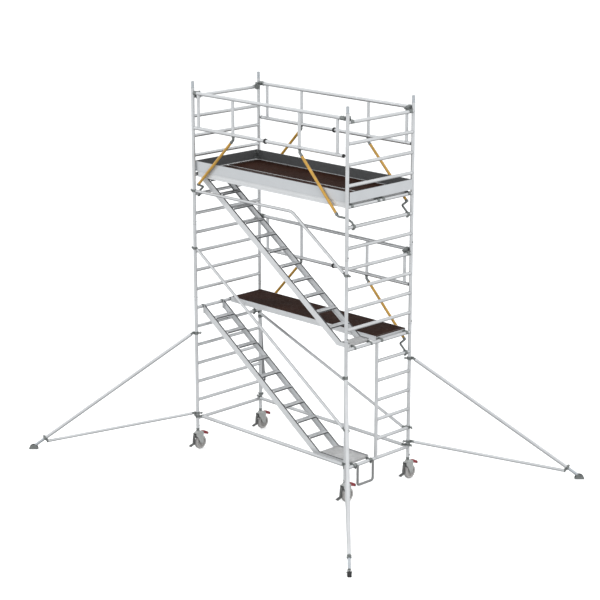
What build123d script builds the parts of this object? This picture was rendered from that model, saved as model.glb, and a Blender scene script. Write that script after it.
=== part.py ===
from build123d import *
import math
import os

# Mobile tower scaffold, one bay, three end frames high. Millimetres, +Z up.
# Origin: centre of the tower on the floor. +X runs along the bay, -Y is the side with the stairs.

# Driving dimensions
bay_length = 3000            # post axis to post axis along X
frame_width = 1275           # post axis to post axis along Y
rung_pitch = 280
lowest_rung_height = 486
rung_total = 18
post_diameter = 50
rung_diameter = 48
tube_wall = 3
post_below_rung = 155        # from the lowest rung of a frame down to its post ends
spigot_above_joint = 85
spigot_below_joint = 100
pin_above_joint = 35
lower_frame_rungs = 7
middle_frame_rungs = 4
passage_post_y = -30         # middle post of the passage frame

running_gap = 0.3            # between bodies that move past each other
seat_gap = 0.05              # radial gap of a spigot fixed in its own post
shaft_gap = 0.05             # radial clearance of a shaft in its bore

middle_deck_rung = 7
upper_deck_rung = 14
deck_above_rung = 55
platform_width = 600
platform_depth = 80
platform_gap = 8
platform_end = 1450          # half length of a platform
beam_thickness = 18
beam_wall = 3
beam_lip = 4                 # rises beside the deck board
deck_thickness = 10
deck_inset = 2
toe_board_height = 142
toe_board_thickness = 22
toe_board_gap = 1.5          # between the toe boards and the posts

hatch_start = -1330
hatch_end = -430
hatch_width = 500
hatch_gap = 3

guard_rail_rise = 50         # top rail above its rung
guard_knee_drop = 495        # knee rail below the top rail
guard_brace_drop = 1400      # rung that the hooks clip to, below the rung that carries the rail
guard_verticals = (115, 820, 2115, 2820)

stair_slope = 0.704
stair_front = -522           # outer face of the front stringer
stair_width = 400
stringer_depth = 92
stringer_thickness = 24
landing_channel = 62         # depth of the level channels
tread_rise = 168
tread_depth = 85
tread_thickness = 28
tread_groove_pitch = 9
lower_treads = 9
upper_treads = 11
landing_drop = 8             # landing plate below the deck line
landing_hook_inset = 28      # lower hooks inboard of the stringers

wheel_radius = 100
wheel_width = 46
caster_trail = 45

stabiliser_top = 1786
stabiliser_base = 561
stabiliser_reach = 2430      # post axis to foot pivot, level
foot_pivot_height = 40

half_bay = bay_length / 2
half_width = frame_width / 2
post_radius = post_diameter / 2
rung_radius = rung_diameter / 2
saddle_radius = rung_radius + running_gap
corners = (
    ("front_left", -1, -1),
    ("rear_left", -1, 1),
    ("front_right", 1, -1),
    ("rear_right", 1, 1),
)


def rung_z(number):
    """Height of a rung's axis, counted from 1 at the bottom."""
    return lowest_rung_height + (number - 1) * rung_pitch


middle_joint = rung_z(lower_frame_rungs + 1) - post_below_rung
upper_joint = rung_z(lower_frame_rungs + middle_frame_rungs + 1) - post_below_rung
post_bottom = rung_z(1) - post_below_rung
post_top = rung_z(rung_total) + rung_pitch - post_below_rung


def rod(start, end, diameter):
    """Solid round bar between two points."""
    start = Vector(*start)
    end = Vector(*end)
    return Solid.make_cylinder(diameter / 2, (end - start).length, Plane(origin=start, z_dir=end - start))


def tube(start, end, diameter, wall=tube_wall):
    """Hollow round tube between two points."""
    return rod(start, end, diameter) - rod(start, end, diameter - 2 * wall)


def block(low, high):
    """Rectangular block between two opposite corners."""
    size = [b - a for a, b in zip(low, high)]
    middle = [(a + b) / 2 for a, b in zip(low, high)]
    return Pos(*middle) * Box(*size)


def slab(outline, y_low, y_high):
    """Outline in the XZ plane, given thickness along Y."""
    face = Plane.XZ.offset(-y_low) * make_face(Polyline(*outline, close=True))
    return extrude(face, amount=-(y_high - y_low))


def cheek(outline, x_low, x_high):
    """Outline in the YZ plane, given thickness along X."""
    face = Plane.YZ.offset(x_low) * make_face(Polyline(*outline, close=True))
    return extrude(face, amount=x_high - x_low)


def bent_bar(points, bend_radius, diameter, wall=None):
    """Round bar or tube along straight runs joined by tangent bends, one solid for each run and bend."""
    route = [Vector(*point) for point in points]
    pieces = []
    start = route[0]
    for before, corner, after in zip(route, route[1:], route[2:]):
        arriving = (corner - before).normalized()
        leaving = (after - corner).normalized()
        half_turn = math.radians(arriving.get_angle(leaving)) / 2
        setback = bend_radius * math.tan(half_turn)
        bend_start = corner - arriving * setback
        bend_end = corner + leaving * setback
        inward = (leaving - arriving).normalized()
        crown = corner + inward * (bend_radius / math.cos(half_turn) - bend_radius)
        pieces.append(straight_run(start, bend_start, diameter, wall))
        section = Plane(origin=bend_start, z_dir=arriving) * ring_face(diameter, wall)
        pieces.append(sweep(section, path=ThreePointArc(bend_start, crown, bend_end)))
        start = bend_end
    pieces.append(straight_run(start, route[-1], diameter, wall))
    return pieces


def straight_run(start, end, diameter, wall):
    if wall is None:
        return rod(start, end, diameter)
    return tube(start, end, diameter, wall)


def ring_face(diameter, wall):
    if wall is None:
        return Circle(diameter / 2)
    return Circle(diameter / 2) - Circle(diameter / 2 - wall)


def save(node, *groups):
    """Write one node as a STEP file of separate solids."""
    solids = []
    for group in groups:
        for shape in group if isinstance(group, (list, tuple)) else [group]:
            solids.extend(shape.solids())
    export_step(Compound(children=solids), f"parts/{node}.step")


def turned(shapes, angle=180):
    """The same pieces turned about the tower's centre line."""
    return [Rot(0, 0, angle) * shape for shape in shapes]


def raised(shapes, height):
    return [Pos(0, 0, height) * shape for shape in shapes]


# End frames

def post_solid(side, y, bottom, top):
    return rod((side * half_bay, y, bottom), (side * half_bay, y, top), post_diameter)


def pin_hole(side, y, joint):
    """Cross hole of a lock pin, along X through the post."""
    x = side * half_bay
    z = joint + pin_above_joint
    return rod((x - 40, y, z), (x + 40, y, z), 10)


def frame_post(side, y, bottom, top):
    x = side * half_bay
    return tube((x, y, bottom), (x, y, top), post_diameter) - pin_hole(side, y, bottom)


def frame_rung(side, number, y_low, y_high, *posts):
    """A rung coped onto the posts at its ends."""
    x = side * half_bay
    rung = tube((x, y_low, rung_z(number)), (x, y_high, rung_z(number)), rung_diameter)
    for post in posts:
        rung = rung - post
    return rung


def ladder_frame(side, first, last):
    """Two posts with a full-width rung at every step."""
    bottom = rung_z(first) - post_below_rung
    top = rung_z(last) + rung_pitch - post_below_rung
    posts = [post_solid(side, y, bottom, top) for y in (-half_width, half_width)]
    rungs = [
        frame_rung(side, number, -half_width, half_width, *posts)
        for number in range(first, last + 1)
    ]
    return [frame_post(side, y, bottom, top) for y in (-half_width, half_width)] + rungs


def passage_frame(side, first, last):
    """Full-width rungs at the bottom and top, half rungs behind a middle post, open for entry in front."""
    bottom = rung_z(first) - post_below_rung
    top = rung_z(last) + rung_pitch - post_below_rung
    x = side * half_bay
    posts = [post_solid(side, y, bottom, top) for y in (-half_width, half_width)]
    ends = [
        frame_rung(side, number, -half_width, half_width, *posts)
        for number in (first, last)
    ]
    end_rungs = [
        rod((x, -half_width, rung_z(number)), (x, half_width, rung_z(number)), rung_diameter)
        for number in (first, last)
    ]
    y = passage_post_y
    middle_post = tube((x, y, rung_z(first)), (x, y, rung_z(last)), rung_diameter)
    for end_rung in end_rungs:
        middle_post = middle_post - end_rung
    middle_solid = rod((x, y, rung_z(first)), (x, y, rung_z(last)), rung_diameter)
    half_rungs = [
        frame_rung(side, number, y, half_width, middle_solid, posts[1])
        for number in range(first + 1, last)
    ]
    frame_posts = [frame_post(side, y, bottom, top) for y in (-half_width, half_width)]
    return frame_posts + [middle_post] + ends + half_rungs


def spigot(side, y, joint):
    """Joining tube fixed in a post's top end, drilled for the pin of the frame above."""
    x = side * half_bay
    bore = post_diameter - 2 * tube_wall
    seated = tube((x, y, joint - spigot_below_joint), (x, y, joint), bore - 2 * seat_gap)
    free = tube((x, y, joint), (x, y, joint + spigot_above_joint), bore - 2 * running_gap)
    return seated + free - pin_hole(side, y, joint)


def lock_pin(side, y, joint):
    """Cross pin with a round head on the outer end."""
    x = side * half_bay
    z = joint + pin_above_joint
    outside = x + side * (post_radius + 2)
    shank = rod((x - side * 32, y, z), (outside, y, z), 9)
    head = rod((outside, y, z), (outside + side * 7, y, z), 20)
    return shank + head


def caster_stem(side, y):
    """Stem that plugs into a post, with a collar below it and a swivel pin for the fork."""
    x = side * half_bay
    diameter = post_diameter - 2 * tube_wall - 2 * running_gap
    stem = rod((x, y, post_bottom), (x, y, post_bottom + 110), diameter)
    collar = rod((x, y, fork_top + running_gap), (x, y, post_bottom), rung_diameter)
    pivot = rod((x, y, crown_bottom - 3), (x, y, fork_top + running_gap), swivel_pin)
    nut = rod((x, y, crown_bottom - 10), (x, y, crown_bottom - 1), 32)
    return stem + collar + pivot + nut - pin_hole(side, y, post_bottom)


# Casters, built round a stem axis at the origin of X and Y

fork_top = 287
crown_bottom = 256
crown_top = 262
swivel_pin = 24
fork_plate_gap = 66
fork_plate = 5
axle_diameter = 12
brake_pivot_y = -20
brake_pivot_z = 230
brake_pin_diameter = 10
brake_width = 40


def caster_fork():
    """Swivel head on its crown plate, two side plates, the wheel's axle and the brake's pin."""
    head = rod((0, 0, crown_top), (0, 0, fork_top), 78)
    crown = block((-48, -64, crown_bottom), (48, 82, crown_top))
    bore = rod((0, 0, crown_bottom - 1), (0, 0, fork_top + 1), swivel_pin + 2 * shaft_gap)
    axle = rod((-44, caster_trail, wheel_radius), (44, caster_trail, wheel_radius), axle_diameter)
    y, z = brake_pivot_y, brake_pivot_z
    brake_pin = rod((-41, y, z), (41, y, z), brake_pin_diameter)
    outline = [(-64, crown_bottom), (82, crown_bottom), (78, 190), (68, 84), (22, 84), (-30, 190), (-64, 222)]
    inner = fork_plate_gap / 2
    plates = [
        cheek(outline, low, low + fork_plate) - axle - brake_pin
        for low in (-inner - fork_plate, inner)
    ]
    return [head + crown - bore, axle, brake_pin] + plates


def caster_wheel():
    """Moulded hub and rim, with a separate tyre."""
    y = caster_trail
    z = wheel_radius
    half = wheel_width / 2
    hub = rod((-29, y, z), (29, y, z), 44)
    rim = rod((-half, y, z), (half, y, z), 168) - rod((-half, y, z), (half, y, z), 144)
    web = rod((-7, y, z), (7, y, z), 150)
    bore = rod((-40, y, z), (40, y, z), axle_diameter + 2 * shaft_gap)
    core = hub + rim + web - bore
    tread = rod((-half, y, z), (half, y, z), 2 * wheel_radius)
    tread = fillet(tread.edges().filter_by(GeomType.CIRCLE), 8)
    tyre = tread - rod((-40, y, z), (40, y, z), 168)
    return [core, tyre]


def caster_brake():
    """Rocker on the fork's pin: shoe over the tyre, tail pedal in front, release pedal behind."""
    half = brake_width / 2
    arm = cheek(
        [(-34, 214), (-4, 214), (30, 216), (92, 222), (96, 234), (20, 243), (-34, 243)],
        -half, half,
    )
    shell = cheek(
        [(-90, 236), (-34, 243), (-34, 214), (-62, 196), (-76, 160), (-80, 118), (-88, 92),
         (-98, 92), (-92, 150), (-96, 200)],
        -half, half,
    )
    tail = cheek([(-168, 78), (-160, 92), (-98, 104), (-84, 104), (-86, 90), (-100, 88), (-164, 70)], -26, 26)
    release = cheek([(88, 262), (150, 250), (184, 226), (178, 192), (92, 222)], -29, 29)
    shoe = cheek([(-44, 214), (-4, 214), (2, 178), (-36, 160)], -16, 16)
    wheel_space = rod(
        (-40, caster_trail, wheel_radius), (40, caster_trail, wheel_radius), 2 * (wheel_radius + 6)
    )
    bore = rod(
        (-40, brake_pivot_y, brake_pivot_z), (40, brake_pivot_y, brake_pivot_z),
        brake_pin_diameter + 2 * shaft_gap,
    )
    return arm + shell + tail + release + (shoe - wheel_space) - bore


# Claws that clip over a rung. The rung runs along Y through the origin; the tube arrives from +X.

def saddle(width, wall=9):
    """Hook over the rung, open underneath."""
    ring = rod((0, -width / 2, 0), (0, width / 2, 0), 2 * (saddle_radius + wall))
    ring = ring - rod((0, -width, 0), (0, width, 0), 2 * saddle_radius)
    mouth = block((-14, -width, -60), (60, width, 2))
    return ring - mouth


def rung_claw(width, neck_end, neck_low, neck_high):
    """Saddle with a neck that carries a tube or beam."""
    neck = block((saddle_radius - 6, -width / 2, neck_low), (neck_end, width / 2, neck_high))
    neck = neck - rod((0, -width, 0), (0, width, 0), 2 * saddle_radius)
    return saddle(width) + neck


def placed_claw(claw, side, y, z):
    """Put a claw on a rung of the left (-1) or right (1) frame, facing into the bay."""
    angle = 0 if side < 0 else 180
    return Pos(side * half_bay, y, z) * Rot(0, 0, angle) * claw


# Platforms

def platform_beams(y_middle, top, crossings):
    """Two channel side beams, two end beams and the cross members under the deck."""
    pieces = []
    outer = platform_width / 2
    low = top - platform_depth
    deck_bottom = top - deck_inset - deck_thickness
    for direction in (-1, 1):
        web, lip, inner, recess_start, recess_end = (
            y_middle + direction * (outer - inset)
            for inset in (0, beam_lip, beam_thickness, beam_wall, beam_thickness + 1)
        )
        beam = block((-platform_end, min(web, inner), low), (platform_end, max(web, inner), deck_bottom))
        edge = block((-platform_end, min(web, lip), low), (platform_end, max(web, lip), top))
        recess = block(
            (-platform_end - 1, min(recess_start, recess_end), low + beam_wall),
            (platform_end + 1, max(recess_start, recess_end), deck_bottom - beam_wall),
        )
        pieces.append(beam + edge - recess)
    clear = outer - beam_thickness
    for direction in (-1, 1):
        x_values = sorted((direction * platform_end, direction * (platform_end - 25)))
        pieces.append(hollow_bar(x_values, y_middle, clear, deck_bottom - 60, deck_bottom))
    for x in crossings:
        pieces.append(hollow_bar((x - 15, x + 15), y_middle, clear, deck_bottom - 40, deck_bottom))
    return pieces


def hollow_bar(x_values, y_middle, reach, low, high):
    """Rectangular hollow section across a platform."""
    outside = block((x_values[0], y_middle - reach, low), (x_values[1], y_middle + reach, high))
    inside = block(
        (x_values[0] + 2, y_middle - reach - 1, low + 2), (x_values[1] - 2, y_middle + reach + 1, high - 2)
    )
    return outside - inside


def deck_board(y_middle, top, y_limit):
    """Board that covers the beams between their lips, cut off where it would pass the limit."""
    reach = platform_width / 2 - beam_lip
    y_low = max(y_middle - reach, -y_limit)
    y_high = min(y_middle + reach, y_limit)
    low = top - deck_inset - deck_thickness
    return block((-platform_end + 3, y_low, low), (platform_end - 3, y_high, top - deck_inset))


def hatch_opening(y_middle, top):
    half = hatch_width / 2
    return block((hatch_start, y_middle - half, top - 30), (hatch_end, y_middle + half, top + 30))


def platform_claws(y_middle, rung):
    """Four hooks, two at each end."""
    claw = rung_claw(40, half_bay - platform_end, -16, 33)
    places = [
        (side, y_middle + direction * (platform_width / 2 - 44))
        for side in (-1, 1)
        for direction in (-1, 1)
    ]
    return [placed_claw(claw, side, y, rung_z(rung)) for side, y in places]


# Hatch

hinge_barrel = 12
hinge_pin = 6
hinge_places = (-1200, -880, -560)


def hinge_axis(y_middle, top):
    return y_middle - hatch_width / 2 - 2, top + 4


def hatch_fixed_hinges(y_middle, top):
    """Leaf on the platform edge, barrel and pin."""
    y, z = hinge_axis(y_middle, top)
    pieces = []
    for x in hinge_places:
        leaf = block((x - 30, y - 26, top - deck_inset), (x + 30, y - 5, top))
        barrel = rod((x - 9, y, z), (x + 9, y, z), hinge_barrel)
        link = block((x - 9, y - 10, top - deck_inset), (x + 9, y - 3, top + 3))
        pin = rod((x - 29, y, z), (x + 29, y, z), hinge_pin)
        pieces.append(leaf + barrel + link + pin)
    return pieces


def hatch_pieces(y_middle, top):
    """Trapdoor board with its aluminium edging and the moving hinge barrels."""
    y, z = hinge_axis(y_middle, top)
    half = hatch_width / 2 - hatch_gap
    low = top - deck_inset - deck_thickness
    high = top - deck_inset
    start = hatch_start + hatch_gap
    end = hatch_end - hatch_gap
    rim = 14
    outside = block((start, y_middle - half, low), (end, y_middle + half, high))
    inside = block(
        (start + rim, y_middle - half + rim, low - 1), (end - rim, y_middle + half - rim, high + 1)
    )
    edging = outside - inside
    board = block((start + rim, y_middle - half + rim, low), (end - rim, y_middle + half - rim, high))
    for x in hinge_places:
        for offset in (-20, 20):
            barrel = rod((x + offset - 8, y, z), (x + offset + 8, y, z), hinge_barrel)
            leaf = block((x + offset - 8, y + 2, high), (x + offset + 8, y + 26, top + 3))
            knuckle = barrel + leaf
            edging = edging + knuckle
        edging = edging - rod((x - 29, y, z), (x + 29, y, z), hinge_pin + 2 * shaft_gap)
        edging = edging - rod((x - 9.5, y, z), (x + 9.5, y, z), hinge_barrel + 1)
    return [edging, board]


# Toe boards

toe_board_reach = half_width - post_radius - toe_board_gap


def side_toe_board(direction, top):
    """Board just inside the posts, from one end board to the other."""
    outer = direction * toe_board_reach
    inner = direction * (toe_board_reach - toe_board_thickness)
    low = (-half_bay, min(outer, inner), top)
    return block(low, (half_bay, max(outer, inner), top + toe_board_height))


def end_toe_board(side, top):
    """Board above the rung that carries the platforms, between the posts."""
    outer = side * (half_bay + toe_board_thickness)
    inner = side * half_bay
    low = (min(outer, inner), -toe_board_reach, top)
    return block(low, (max(outer, inner), toe_board_reach, top + toe_board_height))


# Guard frames. Built at the front with the near end at the left post, its rail carried by the top rung.

guard_tube = 50
guard_upright = 44
guard_brace_tube = 40
guard_brace_wall = 6          # its bore is narrower than the hook bar that closes it
hook_bar = 30
near_hook_inward = 88        # clip's middle, along the rung from the post
far_hook_inward = 120
clip_wall = 9
clip_width = 40


def guard_xyz(along, inward, up):
    """Point of the front upper guard: along from the near post, inward from its line, up from the rung."""
    return -half_bay + along, -half_width + inward, rung_z(rung_total) + up


def guard_tubes():
    """Top rail, two-part knee rail and four uprights."""
    knee = guard_rail_rise - guard_knee_drop
    joint = (guard_verticals[0] + guard_verticals[-1]) / 2
    top_rail = tube(guard_xyz(32, 0, guard_rail_rise), guard_xyz(2966, 0, guard_rail_rise), guard_tube)
    knee_near = tube(guard_xyz(30, 0, knee), guard_xyz(joint, 0, knee), guard_tube)
    knee_far = tube(guard_xyz(joint, 0, knee), guard_xyz(2925, 0, knee), guard_tube)
    rail_solids = [
        rod(guard_xyz(0, 0, height), guard_xyz(bay_length, 0, height), guard_tube)
        for height in (guard_rail_rise, knee)
    ]
    uprights = [
        tube(guard_xyz(along, 0, knee), guard_xyz(along, 0, guard_rail_rise), guard_upright)
        - rail_solids[0] - rail_solids[1]
        for along in guard_verticals
    ]
    return [top_rail, knee_near, knee_far] + uprights


def guard_trims():
    """Rubber ring at the knee rail's joint and the cap on its far end."""
    knee = guard_rail_rise - guard_knee_drop
    joint = (guard_verticals[0] + guard_verticals[-1]) / 2
    ring = tube(guard_xyz(joint - 14, 0, knee), guard_xyz(joint + 14, 0, knee), guard_tube + 22, 11)
    cap = rod(guard_xyz(2925, 0, knee), guard_xyz(2943, 0, knee), guard_tube + 2)
    return [ring, cap]


guard_brace_lines = (
    ((790, -548), (106, -1233)),
    ((2158, -548), (2800, -1228)),
)


def guard_braces():
    """Two diagonal tubes that spread from under the inner uprights."""
    return [
        tube(guard_xyz(high[0], 0, high[1]), guard_xyz(low[0], 0, low[1]), guard_brace_tube, guard_brace_wall)
        for high, low in guard_brace_lines
    ]


def guard_elbows():
    """Bent brackets from the knee rail to the top of each brace."""
    knee_underside = guard_rail_rise - guard_knee_drop - guard_tube / 2
    lean = 36
    elbows = []
    for high, low in guard_brace_lines:
        slope = (low[0] - high[0]) / (high[1] - low[1])
        corner = high[0] - slope * lean
        route = [
            guard_xyz(corner, 0, knee_underside),
            guard_xyz(corner, 0, high[1] + lean),
            guard_xyz(high[0], 0, high[1]),
        ]
        first, bend, last = bent_bar(route, 20, 38)
        elbows.append(first + bend + last)
    return elbows


def rung_clip(inward, along):
    """Hinged clip closed round a rung, with its latch underneath."""
    rung = -guard_brace_drop
    low = inward - clip_width / 2
    high = inward + clip_width / 2
    outer = saddle_radius + clip_wall
    ring = rod(guard_xyz(along, low, rung), guard_xyz(along, high, rung), 2 * outer)
    bore = rod(guard_xyz(along, low - 1, rung), guard_xyz(along, high + 1, rung), 2 * saddle_radius)
    latch_low = guard_xyz(along - 11, low + 4, rung - outer - 12)
    latch_high = guard_xyz(along + 11, high - 4, rung - outer + 4)
    return ring - bore + block(latch_low, latch_high)


def guard_hooks():
    """Thick bent bars from the brace ends to clips on the lower rung."""
    crown = saddle_radius + clip_wall - guard_brace_drop
    near_low = guard_brace_lines[0][1]
    far_low = guard_brace_lines[1][1]
    near_route = [
        (near_low[0], 0, near_low[1]),
        (near_low[0] - 18, 0, near_low[1] - 18),
        (near_low[0] - 6, near_hook_inward, near_low[1] - 57),
        (10, near_hook_inward, crown - 2),
    ]
    far_route = [
        (far_low[0], 0, far_low[1]),
        (far_low[0] + 36, 0, far_low[1] - 38),
        (far_low[0] + 148, 44, far_low[1] - 52),
        (bay_length - 14, far_hook_inward - 4, crown + 24),
        (bay_length - 4, far_hook_inward, crown - 4),
    ]
    pieces = []
    for route, radius, inward, along in (
        (near_route, 22, near_hook_inward, 0),
        (far_route, 22, far_hook_inward, bay_length),
    ):
        bar = bent_bar([guard_xyz(*point) for point in route], radius, hook_bar)
        rung = -guard_brace_drop
        clear = rod(
            guard_xyz(along, inward - 60, rung), guard_xyz(along, inward + 60, rung),
            2 * (saddle_radius + clip_wall),
        )
        pieces += [piece - clear for piece in bar]
        pieces.append(rung_clip(inward, along))
    return pieces


def guard_claws():
    """Brackets that hold the top rail's ends: sleeve on the rail, arm, and a hook on the rung by the post."""
    rail = rod(guard_xyz(-50, 0, guard_rail_rise), guard_xyz(bay_length + 50, 0, guard_rail_rise), guard_tube)
    grip = rung_claw(50, 86, 26, 44)
    pieces = []
    for along, inboard, turn, sleeve_start, sleeve_end in (
        (0, 1, 0, 34, 88),
        (bay_length, -1, 180, bay_length - 120, bay_length - 36),
    ):
        hook = Pos(*guard_xyz(along, 70, 0)) * Rot(0, 0, turn) * grip
        near_x, far_x = sorted((along + inboard * 44, along + inboard * 86))
        arm = block(guard_xyz(near_x, 0, 28), guard_xyz(far_x, 50.5, 68))
        near_x, far_x = sorted((along + inboard * 30, along + inboard * 58))
        cheek_plate = block(guard_xyz(near_x, 30, -30), guard_xyz(far_x, 95, 74))
        sleeve = tube(
            guard_xyz(sleeve_start, 0, guard_rail_rise), guard_xyz(sleeve_end, 0, guard_rail_rise),
            guard_tube + 10, 5,
        )
        pieces.append(hook + cheek_plate + (arm - rail) + sleeve)
    return pieces


# Stairs. Each one drops along +X from a rung of the left frame to a landing on a rung of the right frame.

def stair_shape(top_rung, rise):
    """Deck line height at the top, landing height, and where the slope meets the landing."""
    top = rung_z(top_rung) + deck_above_rung
    landing = top - rise
    return top, landing, -half_bay + rise / stair_slope


def stringer_y(index):
    low = stair_front + index * (stair_width - stringer_thickness)
    return low, low + stringer_thickness


def channel(outline_points, y_low, y_high, open_side):
    """Plate with turned flanges: the outline, hollowed from one side."""
    solid = slab(outline_points, y_low, y_high)
    middle = offset(make_face(Polyline(*outline_points, close=True)), amount=-4, kind=Kind.INTERSECTION)
    cut_low, cut_high = (y_low + 4, y_high + 1) if open_side > 0 else (y_low - 1, y_high - 4)
    pocket = extrude(Plane.XZ.offset(-cut_low) * middle, amount=-(cut_high - cut_low))
    return solid - pocket


def stair_sides(top_rung, rise, under_platform):
    """Sloping stringers and the level channels beside the landing, cut level under a platform."""
    top, landing, foot_x = stair_shape(top_rung, rise)
    drop = stringer_depth / math.cos(math.atan(stair_slope))
    start_x = -half_bay + 42
    clip = rung_z(top_rung) - platform_depth + deck_above_rung - 6
    clip_x = -half_bay + (top - clip) / stair_slope
    seat = landing - landing_channel
    heel_x = foot_x - (drop - landing_channel) / stair_slope
    start_top = top - stair_slope * (start_x + half_bay)
    head = [(start_x, clip), (clip_x, clip)] if under_platform else [(start_x, start_top)]
    slope_points = head + [(foot_x, landing), (heel_x, seat), (start_x, start_top - drop)]
    level_points = [(foot_x, landing), (platform_end, landing), (platform_end, seat), (heel_x, seat)]
    pieces = []
    for index, open_side in ((0, 1), (1, -1)):
        y_low, y_high = stringer_y(index)
        pieces.append(channel(slope_points, y_low, y_high, open_side))
        pieces.append(channel(level_points, y_low, y_high, open_side))
    return pieces


def stair_tread():
    """Extruded tread with grooves along its top, nosing towards +X."""
    y_low = stringer_y(0)[1]
    y_high = stringer_y(1)[0]
    half = tread_depth / 2
    top = tread_thickness / 2
    outline = block((-half, y_low, -top), (half, y_high, top))
    hollow = block((-half + 3, y_low - 1, 3 - top), (half - 3, y_high + 1, top - 6))
    tread = outline - hollow
    for step in range(-4, 5):
        x = step * tread_groove_pitch
        tread = tread - block((x - 1.5, y_low - 1, top - 2), (x + 1.5, y_high + 1, top + 1))
    return tread


def stair_treads(top_rung, rise, count):
    landing = stair_shape(top_rung, rise)[1]
    foot_x = stair_shape(top_rung, rise)[2]
    tread = stair_tread()
    pieces = []
    for step in range(1, count + 1):
        height = step * tread_rise
        pieces.append(Pos(foot_x - height / stair_slope, 0, landing + height - 19) * tread)
    return pieces


def stair_landing(top_rung, rise):
    """Landing plate with ribs under it, between the level channels."""
    _, landing, foot_x = stair_shape(top_rung, rise)
    y_low = stringer_y(0)[1]
    y_high = stringer_y(1)[0]
    level = landing - landing_drop
    plate = block((foot_x - 22, y_low, level - 4), (platform_end - 3, y_high, level))
    ribs = [
        block((x, y_low, level - 34), (x + 4, y_high, level - 4))
        for x in (foot_x - 22, (foot_x + platform_end) / 2, platform_end - 7)
    ]
    return [plate + ribs[0] + ribs[1] + ribs[2]]


def stair_claws(top_rung, rise):
    """Straps over the upper rung and hooks over the lower one."""
    pieces = []
    bottom_rung = top_rung - round(rise / rung_pitch)
    half = stringer_thickness / 2
    top_neck = block((28, -half, -96), (42, half, 30))
    bridge = block((0, -half, saddle_radius + 1), (42, half, saddle_radius + 7))
    top_hook = saddle(stringer_thickness, 7) + top_neck + bridge
    bottom_hook = rung_claw(stringer_thickness, half_bay - platform_end, -6, 40)
    for index, inboard in ((0, landing_hook_inset), (1, -landing_hook_inset)):
        y = sum(stringer_y(index)) / 2
        pieces.append(placed_claw(top_hook, -1, y, rung_z(top_rung)))
        pieces.append(placed_claw(bottom_hook, 1, y + inboard, rung_z(bottom_rung)))
    return pieces


# Handrails and braces

handrail_tube = 42
handrail_end = 50            # post axis to the end of a handrail
upper_rail_heights = (3896, 3206)    # clamps on the left and right posts
lower_rail_heights = (3055, 1050)


def post_band(side, y_side, z, height, wall=7):
    """Clamp band round a post with its wing bolt pointing outwards."""
    x = side * half_bay
    y = y_side * half_width
    inner = 2 * (post_radius + running_gap)
    band = rod((x, y, z - height / 2), (x, y, z + height / 2), inner + 2 * wall)
    band = band - rod((x, y, z - height), (x, y, z + height), inner)
    edge = post_radius + running_gap + wall
    low_x, high_x = sorted((x - side * (edge - 3), x - side * (edge + 16)))
    lug = block((low_x, y - 9, z - height / 2), (high_x, y + 9, z + height / 2))
    out_x = x + side * (edge - 2)
    bolt = rod((out_x, y, z), (out_x + side * 56, y, z), 12)
    nut = rod((out_x + side * 8, y, z), (out_x + side * 20, y, z), 28)
    wing_x = sorted((out_x + side * 20, out_x + side * 34))
    wing = block((wing_x[0], y - 9, z - 17), (wing_x[1], y + 9, z + 17))
    return band + lug + bolt + nut + wing


def handrails():
    """Upper rail: level, then sloping. Lower rail: one straight slope."""
    y = -half_width
    start = -half_bay + handrail_end
    end = half_bay - handrail_end
    route = [(start, y, upper_rail_heights[0]), (470, y, 3908), (end, y, upper_rail_heights[1] + 20)]
    upper = bent_bar(route, 160, handrail_tube, tube_wall)
    lower = tube((start, y, lower_rail_heights[0] - 13), (end, y, lower_rail_heights[1] + 14), handrail_tube)
    return upper + [lower]


def handrail_clamps():
    return [
        post_band(side, -1, height, 36)
        for heights in (upper_rail_heights, lower_rail_heights)
        for side, height in zip((-1, 1), heights)
    ]


brace_tube = 50
diagonal_tube = 44
brace_inset = 48             # brace line inside the post line
brace_end = 60               # post axis to the end of a brace tube
base_tube_rise = 26          # above the lowest rung
diagonal_high_drop = 33      # diagonal's upper coupler below its rung
diagonal_low_rise = 10       # diagonal's lower coupler above its rung


def base_tubes():
    """Level tubes that tie the lowest rungs together, front and rear."""
    z = rung_z(1) + base_tube_rise
    reach = half_bay - brace_end
    line = half_width - brace_inset
    return [
        tube((-reach, side * line, z), (reach, side * line, z), brace_tube)
        for side in (-1, 1)
    ]


def rear_diagonal():
    y = half_width - brace_inset
    reach = half_bay - brace_end
    high = rung_z(6) - diagonal_high_drop
    low = rung_z(2) + diagonal_low_rise
    return tube((-reach, y, high), (reach, y, low), diagonal_tube)


def brace_coupler(side, y_side, z, rung, slope=0):
    """Band on a post, notched over the rung beside it, with an arm that plugs into a brace tube."""
    x = side * half_bay
    line = y_side * (half_width - brace_inset)
    arm_x = sorted((x - side * (post_radius + 2), x - side * (brace_end - 9)))
    arm_y = sorted((y_side * (half_width - 4), line - y_side * 14))
    arm = block((arm_x[0], arm_y[0], z - 15), (arm_x[1], arm_y[1], z + 15))
    tube_end = x - side * brace_end
    plug = rod(
        (tube_end + side * 10, line, z + slope * side * 10),
        (tube_end - side * 18, line, z - slope * side * 18), 32,
    )
    y = y_side * half_width
    post_space = rod((x, y, z - 40), (x, y, z + 40), post_diameter + 2 * running_gap)
    rung_space = rod((x, -half_width, rung_z(rung)), (x, half_width, rung_z(rung)), 2 * saddle_radius)
    return post_band(side, y_side, z, 40) + (arm - post_space) + plug - rung_space


def brace_couplers():
    """Couplers of the base tubes and of the rear diagonal."""
    pieces = [
        brace_coupler(side, y_side, rung_z(1) + base_tube_rise, 1)
        for side in (-1, 1)
        for y_side in (-1, 1)
    ]
    high = rung_z(6) - diagonal_high_drop
    low = rung_z(2) + diagonal_low_rise
    slope = (low - high) / (bay_length - 2 * brace_end)
    pieces.append(brace_coupler(-1, 1, high, 6, slope))
    pieces.append(brace_coupler(1, 1, low, 2, slope))
    return pieces


# Entry step: a stirrup hung outside the lowest rung of the passage frame

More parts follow.
